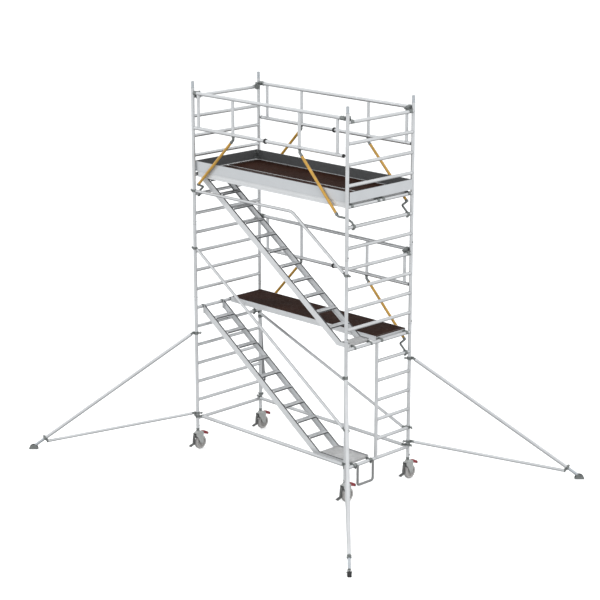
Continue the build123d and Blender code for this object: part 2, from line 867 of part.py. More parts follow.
step_front = -437
step_rear = -132
step_tube = 34
step_ring = saddle_radius + 7
step_x = half_bay + step_ring + 13
step_bottom = 208


def step_ring_solid(y, width=30):
    return rod((half_bay, y - width / 2, rung_z(1)), (half_bay, y + width / 2, rung_z(1)), 2 * step_ring)


def entry_step():
    """Bent tube, coped at its top ends onto the rings of its clamps."""
    top = rung_z(1) + 6
    runs = bent_bar(
        [(step_x, step_front, top), (step_x, step_front, step_bottom), (step_x, step_rear, step_bottom),
         (step_x, step_rear, top)],
        36, step_tube, tube_wall,
    )
    return [run - step_ring_solid(step_front, 60) - step_ring_solid(step_rear, 60) for run in runs]


def step_clamps():
    """Rings on the rung that hold the stirrup's legs, each with a bolt underneath."""
    pieces = []
    for y in (step_front, step_rear):
        z = rung_z(1)
        bore = rod((half_bay, y - 30, z), (half_bay, y + 30, z), 2 * saddle_radius)
        bolt = rod((half_bay, y, z - 52), (half_bay, y, z - saddle_radius - 4), 12)
        nut = rod((half_bay, y, z - 46), (half_bay, y, z - saddle_radius - 6), 22)
        pieces.append(step_ring_solid(y) - bore + bolt + nut)
    return pieces


# Stabilisers, built round a post axis at the origin of X and Y, reaching out along +X

stabiliser_tube = 50
leg_tube = stabiliser_tube - 2 * tube_wall - 2 * running_gap
stabiliser_start = 50        # post axis to the hinge pins of the tubes
strut_tube = 42
leg_shown = 200              # inner leg between the collar and the foot pivot
leg_length = 950             # inner leg, measured from the foot pivot
stabiliser_run = stabiliser_reach - stabiliser_start
stabiliser_fall = stabiliser_top - foot_pivot_height
stabiliser_length = math.hypot(stabiliser_run, stabiliser_fall)
collar_place = stabiliser_length - leg_shown - 20


def on_stabiliser(distance, drop=0):
    """Point at a distance along the stabiliser's axis, and a drop square to it."""
    run = stabiliser_run / stabiliser_length
    fall = stabiliser_fall / stabiliser_length
    return (
        stabiliser_start + distance * run - drop * fall,
        0,
        stabiliser_top - distance * fall - drop * run,
    )


def stabiliser_band(z, height):
    """Coupler band that turns on the post, with its lug, pivot pin and clamping bolt."""
    inner = 2 * (post_radius + running_gap)
    band = rod((0, 0, z - height / 2), (0, 0, z + height / 2), inner + 14)
    band = band - rod((0, 0, z - height), (0, 0, z + height), inner)
    lug = block((29, -8.5, z - height / 2), (stabiliser_start + 12, 8.5, z + height / 2))
    bolt = rod((16, -50, z), (16, -28, z), 12)
    ear = block((6, -42, z - 14), (26, -28, z + 14))
    pin = rod((stabiliser_start, -22, z), (stabiliser_start, 22, z), 12)
    return band + lug + bolt + ear + pin


def fork_end(hinge, end, bore):
    """Plug in a tube's end with two plates that straddle a lug."""
    direction = Vector(*end) - Vector(*hinge)
    frame = Plane(origin=hinge, x_dir=(0, 1, 0), z_dir=direction)
    plug = frame * Pos(0, 0, 34) * Cylinder(bore / 2, 20)
    plates = [frame * Pos(offset, 0, 15) * Box(5, 28, 54) for offset in (-12, 12)]
    pin = rod((hinge[0], -22, hinge[2]), (hinge[0], 22, hinge[2]), 12)
    return plug + plates[0] + plates[1] - pin


def stabiliser_frame():
    """Outer tube, collar, strut, the bands on the post and the fork ends that hold the tubes."""
    upper_hinge = (stabiliser_start, 0, stabiliser_top)
    lower_hinge = (stabiliser_start, 0, stabiliser_base)
    outer = tube(on_stabiliser(30), on_stabiliser(collar_place), stabiliser_tube)
    bands = [stabiliser_band(stabiliser_top, 44), stabiliser_band(stabiliser_base, 40)]
    collar = rod(on_stabiliser(collar_place - 22), on_stabiliser(collar_place + 18), stabiliser_tube + 16)
    collar = collar - rod(on_stabiliser(collar_place - 40), on_stabiliser(collar_place), stabiliser_tube)
    leg_bore = leg_tube + 2 * running_gap
    collar = collar - rod(on_stabiliser(collar_place - 1), on_stabiliser(collar_place + 40), leg_bore)
    strut_end = on_stabiliser(collar_place, 58)
    ear = rod(on_stabiliser(collar_place, 31), on_stabiliser(collar_place, 80), 26)
    screw = rod(on_stabiliser(collar_place, -31), on_stabiliser(collar_place, -58), 12)
    wing = Plane(origin=on_stabiliser(collar_place, -60), z_dir=(0, 1, 0)) * Box(24, 24, 8)
    strut_start = Vector(*lower_hinge) + (Vector(*strut_end) - Vector(*lower_hinge)).normalized() * 30
    strut = tube(strut_start, strut_end, strut_tube) - ear
    ends = [
        fork_end(upper_hinge, on_stabiliser(collar_place), stabiliser_tube - 2 * tube_wall),
        fork_end(lower_hinge, strut_end, strut_tube - 2 * tube_wall),
    ]
    return [outer, collar + ear + screw + wing, strut] + bands + ends


def stabiliser_leg():
    """Telescopic inner leg with a flat tongue for the foot's pivot."""
    leg = tube(on_stabiliser(stabiliser_length - leg_length), on_stabiliser(stabiliser_length - 30), leg_tube)
    inside = leg_tube - 2 * tube_wall
    plug = rod(on_stabiliser(stabiliser_length - 60), on_stabiliser(stabiliser_length - 29), inside)
    x, _, z = on_stabiliser(stabiliser_length)
    boss = rod((x, -10, z), (x, 10, z), 30)
    neck_low = on_stabiliser(stabiliser_length - 30, 14)
    neck_high = on_stabiliser(stabiliser_length - 30, -14)
    end_low = on_stabiliser(stabiliser_length, 14)
    end_high = on_stabiliser(stabiliser_length, -14)
    outline = [(point[0], point[2]) for point in (neck_low, neck_high, end_high, end_low)]
    neck = slab(outline, -10, 10)
    bore = rod((x, -20, z), (x, 20, z), 12 + 2 * shaft_gap)
    return leg + plug + boss + neck - bore


def stabiliser_foot():
    """Swivel foot: rubber shoe between two half-round cheeks, on a cross bolt."""
    x = stabiliser_reach
    z = foot_pivot_height
    dome = rod((x, -23.5, 4), (x, 23.5, 4), 128)
    dome = dome - block((x - 90, -40, -90), (x + 90, 40, 4))
    sole = block((x - 66, -24, 0), (x + 66, 24, 4))
    recess = block((x - 90, -30, 24), (x + 18, 30, 90))
    shoe = dome - recess + sole
    cheeks = []
    for low, high in ((-28, -24), (24, 28)):
        disc = rod((x, low, 4), (x, high, 4), 134)
        cheeks.append(disc - block((x - 90, -40, -90), (x + 90, 40, 4)))
    bolt = rod((x, -34, z), (x, 34, z), 12)
    heads = rod((x, -36, z), (x, -28, z), 22) + rod((x, 28, z), (x, 36, z), 22)
    bracket = cheeks[0] + cheeks[1] + bolt + heads
    return [shoe, bracket]


def at_corner(shapes, side, y_side, angle):
    place = Pos(side * half_bay, y_side * half_width, 0) * Rot(0, 0, angle)
    return [place * shape for shape in shapes]


def main():
    os.makedirs("parts", exist_ok=True)
    upper_deck = rung_z(upper_deck_rung) + deck_above_rung
    middle_deck = rung_z(middle_deck_rung) + deck_above_rung
    front_platform = -(platform_gap + platform_width) / 2
    rear_platform = (platform_gap + platform_width) / 2
    middle_first = lower_frame_rungs + 1
    upper_first = lower_frame_rungs + middle_frame_rungs + 1

    # End frames
    save("lower_left_frame", ladder_frame(-1, 1, lower_frame_rungs))
    save("lower_right_passage_frame", passage_frame(1, 1, lower_frame_rungs))
    for name, side in (("left", -1), ("right", 1)):
        save(f"middle_{name}_frame", ladder_frame(side, middle_first, upper_first - 1))
        save(f"upper_{name}_frame", ladder_frame(side, upper_first, rung_total))
    joints = (middle_joint, upper_joint, post_top)
    posts = [(side, y_side * half_width) for _, side, y_side in corners]
    save("frame_spigots", [spigot(side, y, joint) for side, y in posts for joint in joints])
    pinned = (post_bottom, middle_joint, upper_joint)
    save("frame_lock_pins", [lock_pin(side, y, joint) for side, y in posts for joint in pinned])
    save("caster_stems", [caster_stem(side, y) for side, y in posts])

    # Platforms
    hatch_crossings = (hatch_start - 18, hatch_end + 18, 480)
    plain_crossings = (-720, 0, 720)
    save("upper_front_platform_frame", platform_beams(front_platform, upper_deck, hatch_crossings))
    save("upper_rear_platform_frame", platform_beams(rear_platform, upper_deck, plain_crossings))
    save("middle_platform_frame", platform_beams(rear_platform, middle_deck, plain_crossings))
    upper_limit = toe_board_reach - toe_board_thickness - toe_board_gap
    front_deck = deck_board(front_platform, upper_deck, upper_limit)
    front_deck = front_deck - hatch_opening(front_platform, upper_deck)
    save("upper_front_deck", front_deck)
    save("upper_rear_deck", deck_board(rear_platform, upper_deck, upper_limit))
    save("middle_deck", deck_board(rear_platform, middle_deck, half_width))
    save("hatch_panel", hatch_pieces(front_platform, upper_deck))
    save("hatch_hinges", hatch_fixed_hinges(front_platform, upper_deck))
    save("side_toe_boards", [side_toe_board(direction, upper_deck) for direction in (-1, 1)])
    save("end_toe_boards", [end_toe_board(side, upper_deck) for side in (-1, 1)])

    # Stairs
    upper_rise = (upper_deck_rung - middle_deck_rung) * rung_pitch
    lower_rise = (middle_deck_rung - 1) * rung_pitch
    save("upper_stair_stringers", stair_sides(upper_deck_rung, upper_rise, True))
    save("lower_stair_stringers", stair_sides(middle_deck_rung, lower_rise, False))
    treads = stair_treads(upper_deck_rung, upper_rise, upper_treads)
    treads += stair_treads(middle_deck_rung, lower_rise, lower_treads)
    save("stair_treads", treads)
    landings = stair_landing(upper_deck_rung, upper_rise) + stair_landing(middle_deck_rung, lower_rise)
    save("stair_landings", landings)
    hooks = platform_claws(front_platform, upper_deck_rung)
    hooks += platform_claws(rear_platform, upper_deck_rung)
    hooks += platform_claws(rear_platform, middle_deck_rung)
    hooks += stair_claws(upper_deck_rung, upper_rise)
    hooks += stair_claws(middle_deck_rung, lower_rise)
    save("platform_and_stair_hooks", hooks)
    save("handrails", handrails())

    # Guard frames
    guard_drop = -(upper_deck_rung - middle_deck_rung) * rung_pitch
    tubes = guard_tubes()
    save("upper_front_guard_frame", tubes)
    save("upper_rear_guard_frame", turned(tubes))
    save("middle_rear_guard_frame", raised(turned(tubes), guard_drop))
    for name, pieces in (
        ("guard_braces", guard_braces()),
        ("guard_brace_elbows", guard_elbows()),
        ("guard_brace_hooks", guard_hooks()),
        ("guard_claws", guard_claws()),
        ("guard_rings_and_caps", guard_trims()),
    ):
        save(name, pieces, turned(pieces), raised(turned(pieces), guard_drop))

    # Bracing and entry step
    save("brace_tubes", base_tubes(), rear_diagonal())
    save("tube_couplers", brace_couplers(), handrail_clamps(), step_clamps())
    save("entry_step", entry_step())

    # Moving corner units
    angles = {(-1, -1): -135, (1, -1): -45, (1, 1): 45, (-1, 1): 135}
    fork = caster_fork()
    wheel = caster_wheel()
    brake = [caster_brake()]
    support = stabiliser_frame()
    leg = [stabiliser_leg()]
    foot = stabiliser_foot()
    for name, side, y_side in corners:
        save(f"caster_fork_{name}", at_corner(fork, side, y_side, 0))
        save(f"caster_wheel_{name}", at_corner(wheel, side, y_side, 0))
        save(f"caster_brake_{name}", at_corner(brake, side, y_side, 0))
        angle = angles[(side, y_side)]
        save(f"stabiliser_{name}", at_corner(support, side, y_side, angle))
        save(f"stabiliser_leg_{name}", at_corner(leg, side, y_side, angle))
        save(f"stabiliser_foot_{name}", at_corner(foot, side, y_side, angle))


main()
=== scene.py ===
import math

import bmesh
import bpy
from mathutils import Matrix, Vector


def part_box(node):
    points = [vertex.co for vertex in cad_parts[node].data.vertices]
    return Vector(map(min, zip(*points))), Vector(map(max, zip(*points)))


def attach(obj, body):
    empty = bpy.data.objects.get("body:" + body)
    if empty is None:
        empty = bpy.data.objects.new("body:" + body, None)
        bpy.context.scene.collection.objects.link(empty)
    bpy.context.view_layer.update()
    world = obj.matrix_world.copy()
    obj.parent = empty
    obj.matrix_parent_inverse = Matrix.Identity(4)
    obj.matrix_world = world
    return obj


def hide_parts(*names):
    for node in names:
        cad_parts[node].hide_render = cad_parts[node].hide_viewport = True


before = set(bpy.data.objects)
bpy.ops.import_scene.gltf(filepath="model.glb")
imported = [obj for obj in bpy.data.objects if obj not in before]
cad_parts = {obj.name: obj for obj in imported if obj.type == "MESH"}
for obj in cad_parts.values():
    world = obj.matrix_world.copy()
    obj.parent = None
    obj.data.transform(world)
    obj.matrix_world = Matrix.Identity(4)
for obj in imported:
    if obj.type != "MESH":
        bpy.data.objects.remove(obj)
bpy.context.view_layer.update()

# Looks of the mobile tower scaffold. Metres, in the row frame: +X along the bay, -Y the stair side, +Z up.

# Driving dimensions, read from the frame where a node gives them
frame_low, frame_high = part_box("lower_left_frame")
POST_RADIUS = (frame_high.x - frame_low.x) / 2
HALF_BAY = -(frame_low.x + frame_high.x) / 2
HALF_WIDTH = (frame_high.y - frame_low.y) / 2 - POST_RADIUS
RUNG_PITCH = 0.280
RUNG_RADIUS = 0.024
LOWEST_RUNG = frame_low.z + 0.155
RUNG_TOTAL = 18
MIDDLE_JOINT = frame_high.z
UPPER_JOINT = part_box("middle_left_frame")[1].z
POST_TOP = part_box("upper_left_frame")[1].z
POST_BOTTOM = frame_low.z
SADDLE_RADIUS = RUNG_RADIUS + 0.0003    # of a hook or ring round a rung
PASSAGE_POST = -0.030
HUG = 0.0003                    # gap of a fitting round its tube
BOLT_RADIUS = 0.006
X_AXIS = Vector((1, 0, 0))
Y_AXIS = Vector((0, 1, 0))
UP = Vector((0, 0, 1))
CORNERS = {
    "front_left": (-1, -1, -135),
    "front_right": (1, -1, -45),
    "rear_right": (1, 1, 45),
    "rear_left": (-1, 1, 135),
}


def rung_z(number):
    """Height of a rung's axis, counted from 1 at the bottom."""
    return LOWEST_RUNG + (number - 1) * RUNG_PITCH


# Camera at the photograph's viewing angle

CAMERA_AZIMUTH = 45.07
CAMERA_ELEVATION = 15.51
CAMERA_PLACE = (17.811, -17.7775, 9.435)
CAMERA_LENS = 111.1


def make_camera():
    camera = bpy.data.objects.new("camera", bpy.data.cameras.new("camera"))
    bpy.context.scene.collection.objects.link(camera)
    azimuth = math.radians(CAMERA_AZIMUTH)
    elevation = math.radians(CAMERA_ELEVATION)
    back = Vector((
        math.sin(azimuth) * math.cos(elevation),
        -math.cos(azimuth) * math.cos(elevation),
        math.sin(elevation),
    ))
    camera.location = CAMERA_PLACE
    camera.rotation_mode = "QUATERNION"
    camera.rotation_quaternion = (-back).to_track_quat("-Z", "Y")
    camera.data.lens = CAMERA_LENS
    camera.data.sensor_width = 36
    camera.data.clip_end = 200
    bpy.context.scene.camera = camera


# Geometry kit

def unit(vector):
    return Vector(vector).normalized()


def side_of(axis):
    """Two directions square to an axis."""
    axis = unit(axis)
    helper = Vector((0, 0, 1)) if abs(axis.z) < 0.9 else Vector((1, 0, 0))
    first = helper.cross(axis).normalized()
    return first, axis.cross(first)


def bend(points, radius, steps=7):
    """A path with its corners rounded to a radius."""
    route = [Vector(p) for p in points]
    path = [route[0]]
    for before, corner, after in zip(route, route[1:], route[2:]):
        arriving = (corner - before).normalized()
        leaving = (after - corner).normalized()
        half = arriving.angle(leaving) / 2
        if half < 1e-3:
            path.append(corner)
            continue
        room = 0.48 * min((corner - before).length, (after - corner).length)
        used = min(radius, room / math.tan(half))
        setback = used * math.tan(half)
        start = corner - arriving * setback
        inward = (leaving - arriving).normalized()
        centre = corner + inward * (used / math.cos(half))
        spoke = start - centre
        normal = arriving.cross(leaving).normalized()
        for step in range(steps + 1):
            path.append(centre + Matrix.Rotation(2 * half * step / steps, 3, normal) @ spoke)
    path.append(route[-1])
    return path


def arc(radius, degrees, centre=(0, 0)):
    """Points of a circle at the given angles."""
    return [
        (centre[0] + radius * math.cos(math.radians(a)), centre[1] + radius * math.sin(math.radians(a)))
        for a in degrees
    ]


def moved(place, degrees=0):
    """Turn about Z, then a move."""
    return Matrix.Translation(place) @ Matrix.Rotation(math.radians(degrees), 4, "Z")


class Sketch:
    """Geometry of one piece. Everything added is placed by self.place."""

    def __init__(self, place=None):
        self.bm = bmesh.new()
        self.place = place or Matrix.Identity(4)
        self.index = 0

    def skin(self, rings, loop=False, caps=True):
        """Quads between rings of points. The last ring joins the first if loop."""
        rows = [[self.bm.verts.new(self.place @ Vector(p)) for p in ring] for ring in rings]
        pairs = list(zip(rows, rows[1:]))
        if loop:
            pairs.append((rows[-1], rows[0]))
        for a, b in pairs:
            for i in range(len(a)):
                j = (i + 1) % len(a)
                self.bm.faces.new((a[i], a[j], b[j], b[i])).material_index = self.index
        if caps and not loop:
            self.bm.faces.new(rows[0]).material_index = self.index
            self.bm.faces.new(rows[-1]).material_index = self.index

    def lathe(self, profile, origin, axis, segments=32, loop=False, turn=0.0):
        """Profile of (radius, height) points turned about an axis."""
        first, second = side_of(axis)
        axis = unit(axis)
        origin = Vector(origin)
        rings = []
        for radius, height in profile:
            ring = []
            for k in range(segments):
                angle = turn + 2 * math.pi * k / segments
                spoke = first * math.cos(angle) + second * math.sin(angle)
                ring.append(origin + axis * height + spoke * max(radius, 1e-5))
            rings.append(ring)
        self.skin(rings, loop=loop)

    def ring(self, profile, origin, axis, segments=32):
        """Closed profile turned about an axis, with a hole through it."""
        self.lathe(profile, origin, axis, segments, loop=True)

    def sweep(self, path, radius, segments=16, closed=False, bore=0.0, ripple=0.0):
        """Round bar along a path, or a tube where bore is given."""
        path = [Vector(p) for p in path]
        count = len(path)
        tangents = []
        for k, point in enumerate(path):
            before = path[k - 1] if k or closed else point
            after = path[(k + 1) % count] if k < count - 1 or closed else point
            tangents.append((after - before).normalized())
        normal = side_of(tangents[0])[0]
        rings = []
        bores = []
        for k, (point, tangent) in enumerate(zip(path, tangents)):
            normal = (normal - tangent * normal.dot(tangent)).normalized()
            other = tangent.cross(normal)
            size = radius * (1 + ripple * math.sin(2.4 * k))
            spokes = [
                normal * math.cos(2 * math.pi * i / segments) + other * math.sin(2 * math.pi * i / segments)
                for i in range(segments)
            ]
            rings.append([point + spoke * size for spoke in spokes])
            bores.append([point + spoke * bore for spoke in spokes])
        if bore and not closed:
            self.skin(rings + bores[::-1], loop=True)
        else:
            self.skin(rings, loop=closed)

    def extrude(self, outline, axis, low, high):
        """Outline in the plane square to a row axis, given thickness along it."""
        def at(point, height):
            a, b = point
            return {"x": (height, a, b), "y": (a, height, b), "z": (a, b, height)}[axis]
        self.skin([[at(p, low) for p in outline], [at(p, high) for p in outline]])

    def cheeks(self, outline, inner, outer):
        """Outline in the YZ plane as two plates, one on either side of X = 0."""
        for side in (-1, 1):
            low, high = sorted((side * inner, side * outer))
            self.extrude(outline, "x", low, high)

    def block(self, low, high):
        """Block between any two opposite corners."""
        (x0, x1), (y0, y1), (z0, z1) = (sorted(pair) for pair in zip(low, high))
        self.extrude([(x0, y0), (x1, y0), (x1, y1), (x0, y1)], "z", z0, z1)

    def pipe(self, start, end, radius, wall=0.003, segments=32):
        """Open tube with rounded-off rims."""
        start, end = Vector(start), Vector(end)
        length = (end - start).length
        inner = radius - wall
        rim = 0.0006
        profile = [
            (inner, rim), (inner + rim, 0), (radius - rim, 0), (radius, rim),
            (radius, length - rim), (radius - rim, length), (inner + rim, length), (inner, length - rim),
        ]
        self.lathe(profile, start, end - start, segments, loop=True)

    def bar(self, start, end, radius, segments=20, chamfer=0.001):
        """Solid round bar with chamfered ends."""
        start, end = Vector(start), Vector(end)
        length = (end - start).length
        profile = [(0, 0), (radius - chamfer, 0), (radius, chamfer), (radius, length - chamfer),
                   (radius - chamfer, length), (0, length)]
        self.lathe(profile, start, end - start, segments)

    def bolt(self, place, axis, radius=0.008, height=0.006, washer=True):
        """Hexagon head on a washer, standing out along the axis."""
        place = Vector(place)
        axis = unit(axis)
        if washer:
            self.lathe([(0, 0), (radius * 1.45, 0), (radius * 1.45, 0.0015), (0, 0.0015)], place, axis, 20)
        head = [(0, 0.0015), (radius, 0.0015), (radius, height * 0.8), (radius * 0.86, height), (0, height)]
        self.lathe(head, place, axis, 6)

    def rivet(self, place, axis, radius=0.006):
        dome = [(radius * math.cos(t), radius * 0.5 * math.sin(t)) for t in (0, 0.5, 1.0, math.pi / 2)]
        self.lathe([(0, 0)] + dome, Vector(place), axis, 10)

    def weld(self, centre, post_axis, tube_axis, post_radius, tube_radius, bead=0.0026):
        """Rippled bead where a tube meets a round post. tube_axis points from the post along the tube."""
        post_axis, tube_axis = unit(post_axis), unit(tube_axis)
        across = post_axis.cross(tube_axis)
        path = []
        steps = 48
        for k in range(steps):
            t = 2 * math.pi * k / steps
            aside = tube_radius * math.cos(t)
            depth = math.sqrt(max(post_radius ** 2 - aside ** 2, 0))
            along = tube_radius * math.sin(t)
            path.append(Vector(centre) + across * aside + post_axis * along + tube_axis * depth)
        self.sweep(path, bead, 6, closed=True, ripple=0.28)


SHARP = math.radians(38)


def piece(sketch, name, body, materials, replaces=(), bevel=0.0, segments=2):
    """Turn a sketch into an object that rides on a body."""
    bm = sketch.bm
    bmesh.ops.remove_doubles(bm, verts=bm.verts, dist=2e-5)
    bmesh.ops.dissolve_degenerate(bm, edges=bm.edges, dist=1e-6)
    bmesh.ops.recalc_face_normals(bm, faces=bm.faces)
    for face in bm.faces:
        face.smooth = True
    for edge in bm.edges:
        edge.smooth = len(edge.link_faces) == 2 and edge.calc_face_angle(0) < SHARP
    mesh = bpy.data.meshes.new(name)
    bm.to_mesh(mesh)
    bm.free()
    obj = bpy.data.objects.new(name, mesh)
    bpy.context.scene.collection.objects.link(obj)
    for material in materials if isinstance(materials, (list, tuple)) else [materials]:
        mesh.materials.append(material)
    if bevel:
        edges = obj.modifiers.new("edges", "BEVEL")
        edges.width = bevel
        edges.segments = segments
        edges.limit_method = "ANGLE"
        edges.angle_limit = SHARP
        edges.harden_normals = True
    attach(obj, body)
    if replaces:
        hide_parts(*replaces)
    return obj


# Materials

class Shader:
    """A Principled material with a few procedural layers, all in object space."""

    def __init__(self, name, colour, metallic, roughness):
        self.material = bpy.data.materials.new(name)
        self.material.use_nodes = True
        self.nodes = self.material.node_tree.nodes
        self.links = self.material.node_tree.links
        self.out = self.nodes["Principled BSDF"]
        self.out.inputs["Base Color"].default_value = (*colour, 1)
        self.out.inputs["Metallic"].default_value = metallic
        self.out.inputs["Roughness"].default_value = roughness
        self.place = self.nodes.new("ShaderNodeTexCoord").outputs["Object"]
        self.height = None

    def noise(self, scale, detail=4, rough=0.6, place=None):
        node = self.nodes.new("ShaderNodeTexNoise")
        node.inputs["Scale"].default_value = scale
        node.inputs["Detail"].default_value = detail
        node.inputs["Roughness"].default_value = rough
        self.links.new(place or self.place, node.inputs["Vector"])
        return node.outputs["Fac"]

    def cells(self, scale, feature="F1", output="Distance"):
        node = self.nodes.new("ShaderNodeTexVoronoi")
        node.feature = feature
        node.inputs["Scale"].default_value = scale
        self.links.new(self.place, node.inputs["Vector"])
        return node.outputs[output]

    def span(self, value, low, high, new_low, new_high):
        node = self.nodes.new("ShaderNodeMapRange")
        node.inputs["From Min"].default_value = low
        node.inputs["From Max"].default_value = high
        node.inputs["To Min"].default_value = new_low
        node.inputs["To Max"].default_value = new_high
        self.links.new(value, node.inputs["Value"])
        return node.outputs["Result"]

    def ramp(self, value, *stops):
        node = self.nodes.new("ShaderNodeValToRGB")
        elements = node.color_ramp.elements
        while len(elements) < len(stops):
            elements.new(0.5)
        for element, (position, colour) in zip(elements, stops):
            element.position = position
            element.color = (*colour, 1)
        self.links.new(value, node.inputs["Fac"])
        return node.outputs["Color"]

    def mix(self, factor, first, second):
        node = self.nodes.new("ShaderNodeMix")
        node.data_type = "RGBA"
        self.links.new(factor, node.inputs["Factor"])
        colours = [s for s in node.inputs if s.type == "RGBA"]
        for socket, value in zip(colours, (first, second)):
            if isinstance(value, tuple):
                socket.default_value = (*value, 1)
            else:
                self.links.new(value, socket)
        return [s for s in node.outputs if s.type == "RGBA"][0]

    def colour(self, value):
        self.links.new(value, self.out.inputs["Base Color"])

    def roughness(self, value):
        self.links.new(value, self.out.inputs["Roughness"])

    def metallic(self, value):
        self.links.new(value, self.out.inputs["Metallic"])

    def bump(self, value, strength, distance):
        node = self.nodes.new("ShaderNodeBump")
        node.inputs["Strength"].default_value = strength
        node.inputs["Distance"].default_value = distance
        self.links.new(value, node.inputs["Height"])
        if self.height:
            self.links.new(self.height, node.inputs["Normal"])
        self.height = node.outputs["Normal"]
        self.links.new(self.height, self.out.inputs["Normal"])


def shade(colour, factor):
    return tuple(min(1.0, c * factor) for c in colour)


def metal(name, colour, metallic=0.85, roughness=0.34, cloud=3.0, vary=0.10, scratches=0.25):
    """Satin metal: cloudy tone, fine scratches and handling marks."""
    s = Shader(name, colour, metallic, roughness)
    clouds = s.noise(cloud, 5, 0.65)
    s.colour(s.ramp(clouds, (0.3, shade(colour, 1 - vary)), (0.7, shade(colour, 1 + vary * 0.5))))
    s.roughness(s.span(s.noise(18, 6, 0.7), 0.3, 0.75, roughness - 0.03, roughness + 0.06))
    s.bump(s.noise(900, 3, 0.7), scratches, 0.00004)
    return s.material


def galvanised():
    colour = (0.24, 0.255, 0.25)
    s = Shader("galvanised_steel", colour, 0.75, 0.42)
    spangle = s.cells(260, output="Color")
    tone = s.nodes.new("ShaderNodeSeparateColor")
    s.links.new(spangle, tone.inputs["Color"])
    flakes = s.ramp(tone.outputs["Red"], (0.0, shade(colour, 0.72)), (1.0, shade(colour, 1.28)))
    grime = s.span(s.noise(30, 5), 0.5, 0.72, 0, 0.6)
    s.colour(s.mix(grime, flakes, shade(colour, 0.45)))
    s.roughness(s.span(tone.outputs["Green"], 0, 1, 0.32, 0.58))
    s.bump(s.noise(420, 4), 0.35, 0.0002)
    return s.material


def yellow():
    colour = (0.44, 0.245, 0.036)
    s = Shader("yellow_powder_coat", colour, 0.0, 0.38)
    tone = s.ramp(s.noise(9, 5), (0.3, shade(colour, 0.80)), (0.7, shade(colour, 1.12)))
    worn = s.span(s.noise(110, 8, 0.72), 0.66, 0.72, 0, 1)
    s.colour(s.mix(worn, tone, (0.34, 0.30, 0.24)))
    s.metallic(s.span(s.noise(110, 8, 0.72), 0.66, 0.72, 0, 0.8))
    s.roughness(s.span(s.noise(60, 5), 0.3, 0.7, 0.30, 0.50))
    s.out.inputs["Coat Weight"].default_value = 0.15
    s.bump(s.noise(1500, 2), 0.20, 0.00015)
    return s.material


def plastic(name, colour, roughness=0.45, vary=0.15, grain=900, coat=0.0):
    s = Shader(name, colour, 0.0, roughness)
    s.colour(s.ramp(s.noise(24, 6, 0.7), (0.3, shade(colour, 1 - vary)), (0.7, shade(colour, 1 + vary))))
    s.roughness(s.span(s.noise(80, 5), 0.3, 0.7, roughness - 0.10, roughness + 0.12))
    s.out.inputs["Coat Weight"].default_value = coat
    s.bump(s.noise(grain, 3), 0.30, 0.0002)
    return s.material


def deck_film():
    """Phenolic film on plywood with a pressed wire-mesh grip."""
    colour = (0.020, 0.0070, 0.0038)
    s = Shader("deck_film", colour, 0.0, 0.5)
    s.out.inputs["Specular IOR Level"].default_value = 0.06
    tone = s.ramp(s.noise(2.2, 7, 0.7), (0.3, shade(colour, 0.7)), (0.7, shade(colour, 1.6)))
    scuffs = s.span(s.noise(26, 9, 0.75), 0.58, 0.80, 0, 0.55)
    s.colour(s.mix(scuffs, tone, (0.055, 0.030, 0.021)))
    mesh = s.cells(190, "DISTANCE_TO_EDGE")
    s.roughness(s.span(s.noise(30, 6), 0.3, 0.7, 0.60, 0.85))
    s.bump(s.span(mesh, 0.0, 0.14, 1, 0), 0.55, 0.0007)
    return s.material


def grooved(name, colour, axis_scale, metallic=0.7):
    """Extruded anti-slip face with fine grooves along Y."""
    s = Shader(name, colour, metallic, 0.45)
    wave = s.nodes.new("ShaderNodeTexWave")
    wave.bands_direction = "X"
    wave.inputs["Scale"].default_value = axis_scale
    s.links.new(s.place, wave.inputs["Vector"])
    s.colour(s.ramp(s.noise(14, 6), (0.3, shade(colour, 0.78)), (0.7, shade(colour, 1.15))))
    s.roughness(s.span(s.noise(60, 5), 0.3, 0.7, 0.36, 0.60))
    s.bump(wave.outputs["Fac"], 0.4, 0.0006)
    s.bump(s.noise(600, 3), 0.25, 0.0002)
    return s.material


TUBE = metal("aluminium_tube", (0.62, 0.63, 0.64), 0.70, 0.30)
PROFILE = metal("aluminium_profile", (0.64, 0.65, 0.66), 0.50, 0.38, cloud=2.0, vary=0.07)
BOARD = metal("board_skin", (0.50, 0.515, 0.53), 0.30, 0.45, cloud=2.0, vary=0.06)
FORK = metal("bright_zinc", (0.40, 0.41, 0.40), 0.45, 0.42, cloud=14.0, vary=0.12)
SPIGOT = metal("spigot_tube", (0.52, 0.55, 0.58), 0.8, 0.36)
WELD = metal("weld_bead", (0.46, 0.47, 0.48), 0.8, 0.45, cloud=60, vary=0.25)
STEP = metal("step_tube", (0.27, 0.275, 0.275), 0.6, 0.40)
TAIL = plastic("brake_tail", (0.085, 0.086, 0.084), 0.50, 0.15)
ZINC = galvanised()
YELLOW = yellow()
RUBBER = plastic("black_rubber", (0.016, 0.016, 0.017), 0.62)
WHEEL = plastic("wheel_core", (0.38, 0.37, 0.36), 0.46, 0.08)
TYRE = plastic("wheel_tyre", (0.31, 0.30, 0.295), 0.60, 0.10)
RED = plastic("red_pedal", (0.21, 0.008, 0.015), 0.40, 0.12, coat=0.2)
# Painted shade: dark liner on the toe boards' inner faces and top edges, standing in for the shade that falls
# on the inner faces.
PAINTED_SHADE = plastic("painted_shade_panel", (0.060, 0.062, 0.064), 0.55, 0.16, grain=500)
DECK = deck_film()
TREAD = grooved("tread_extrusion", (0.52, 0.53, 0.54), 110, metallic=0.3)
TRIM = plastic("deck_trim", (0.030, 0.016, 0.011), 0.60, 0.20, grain=500)
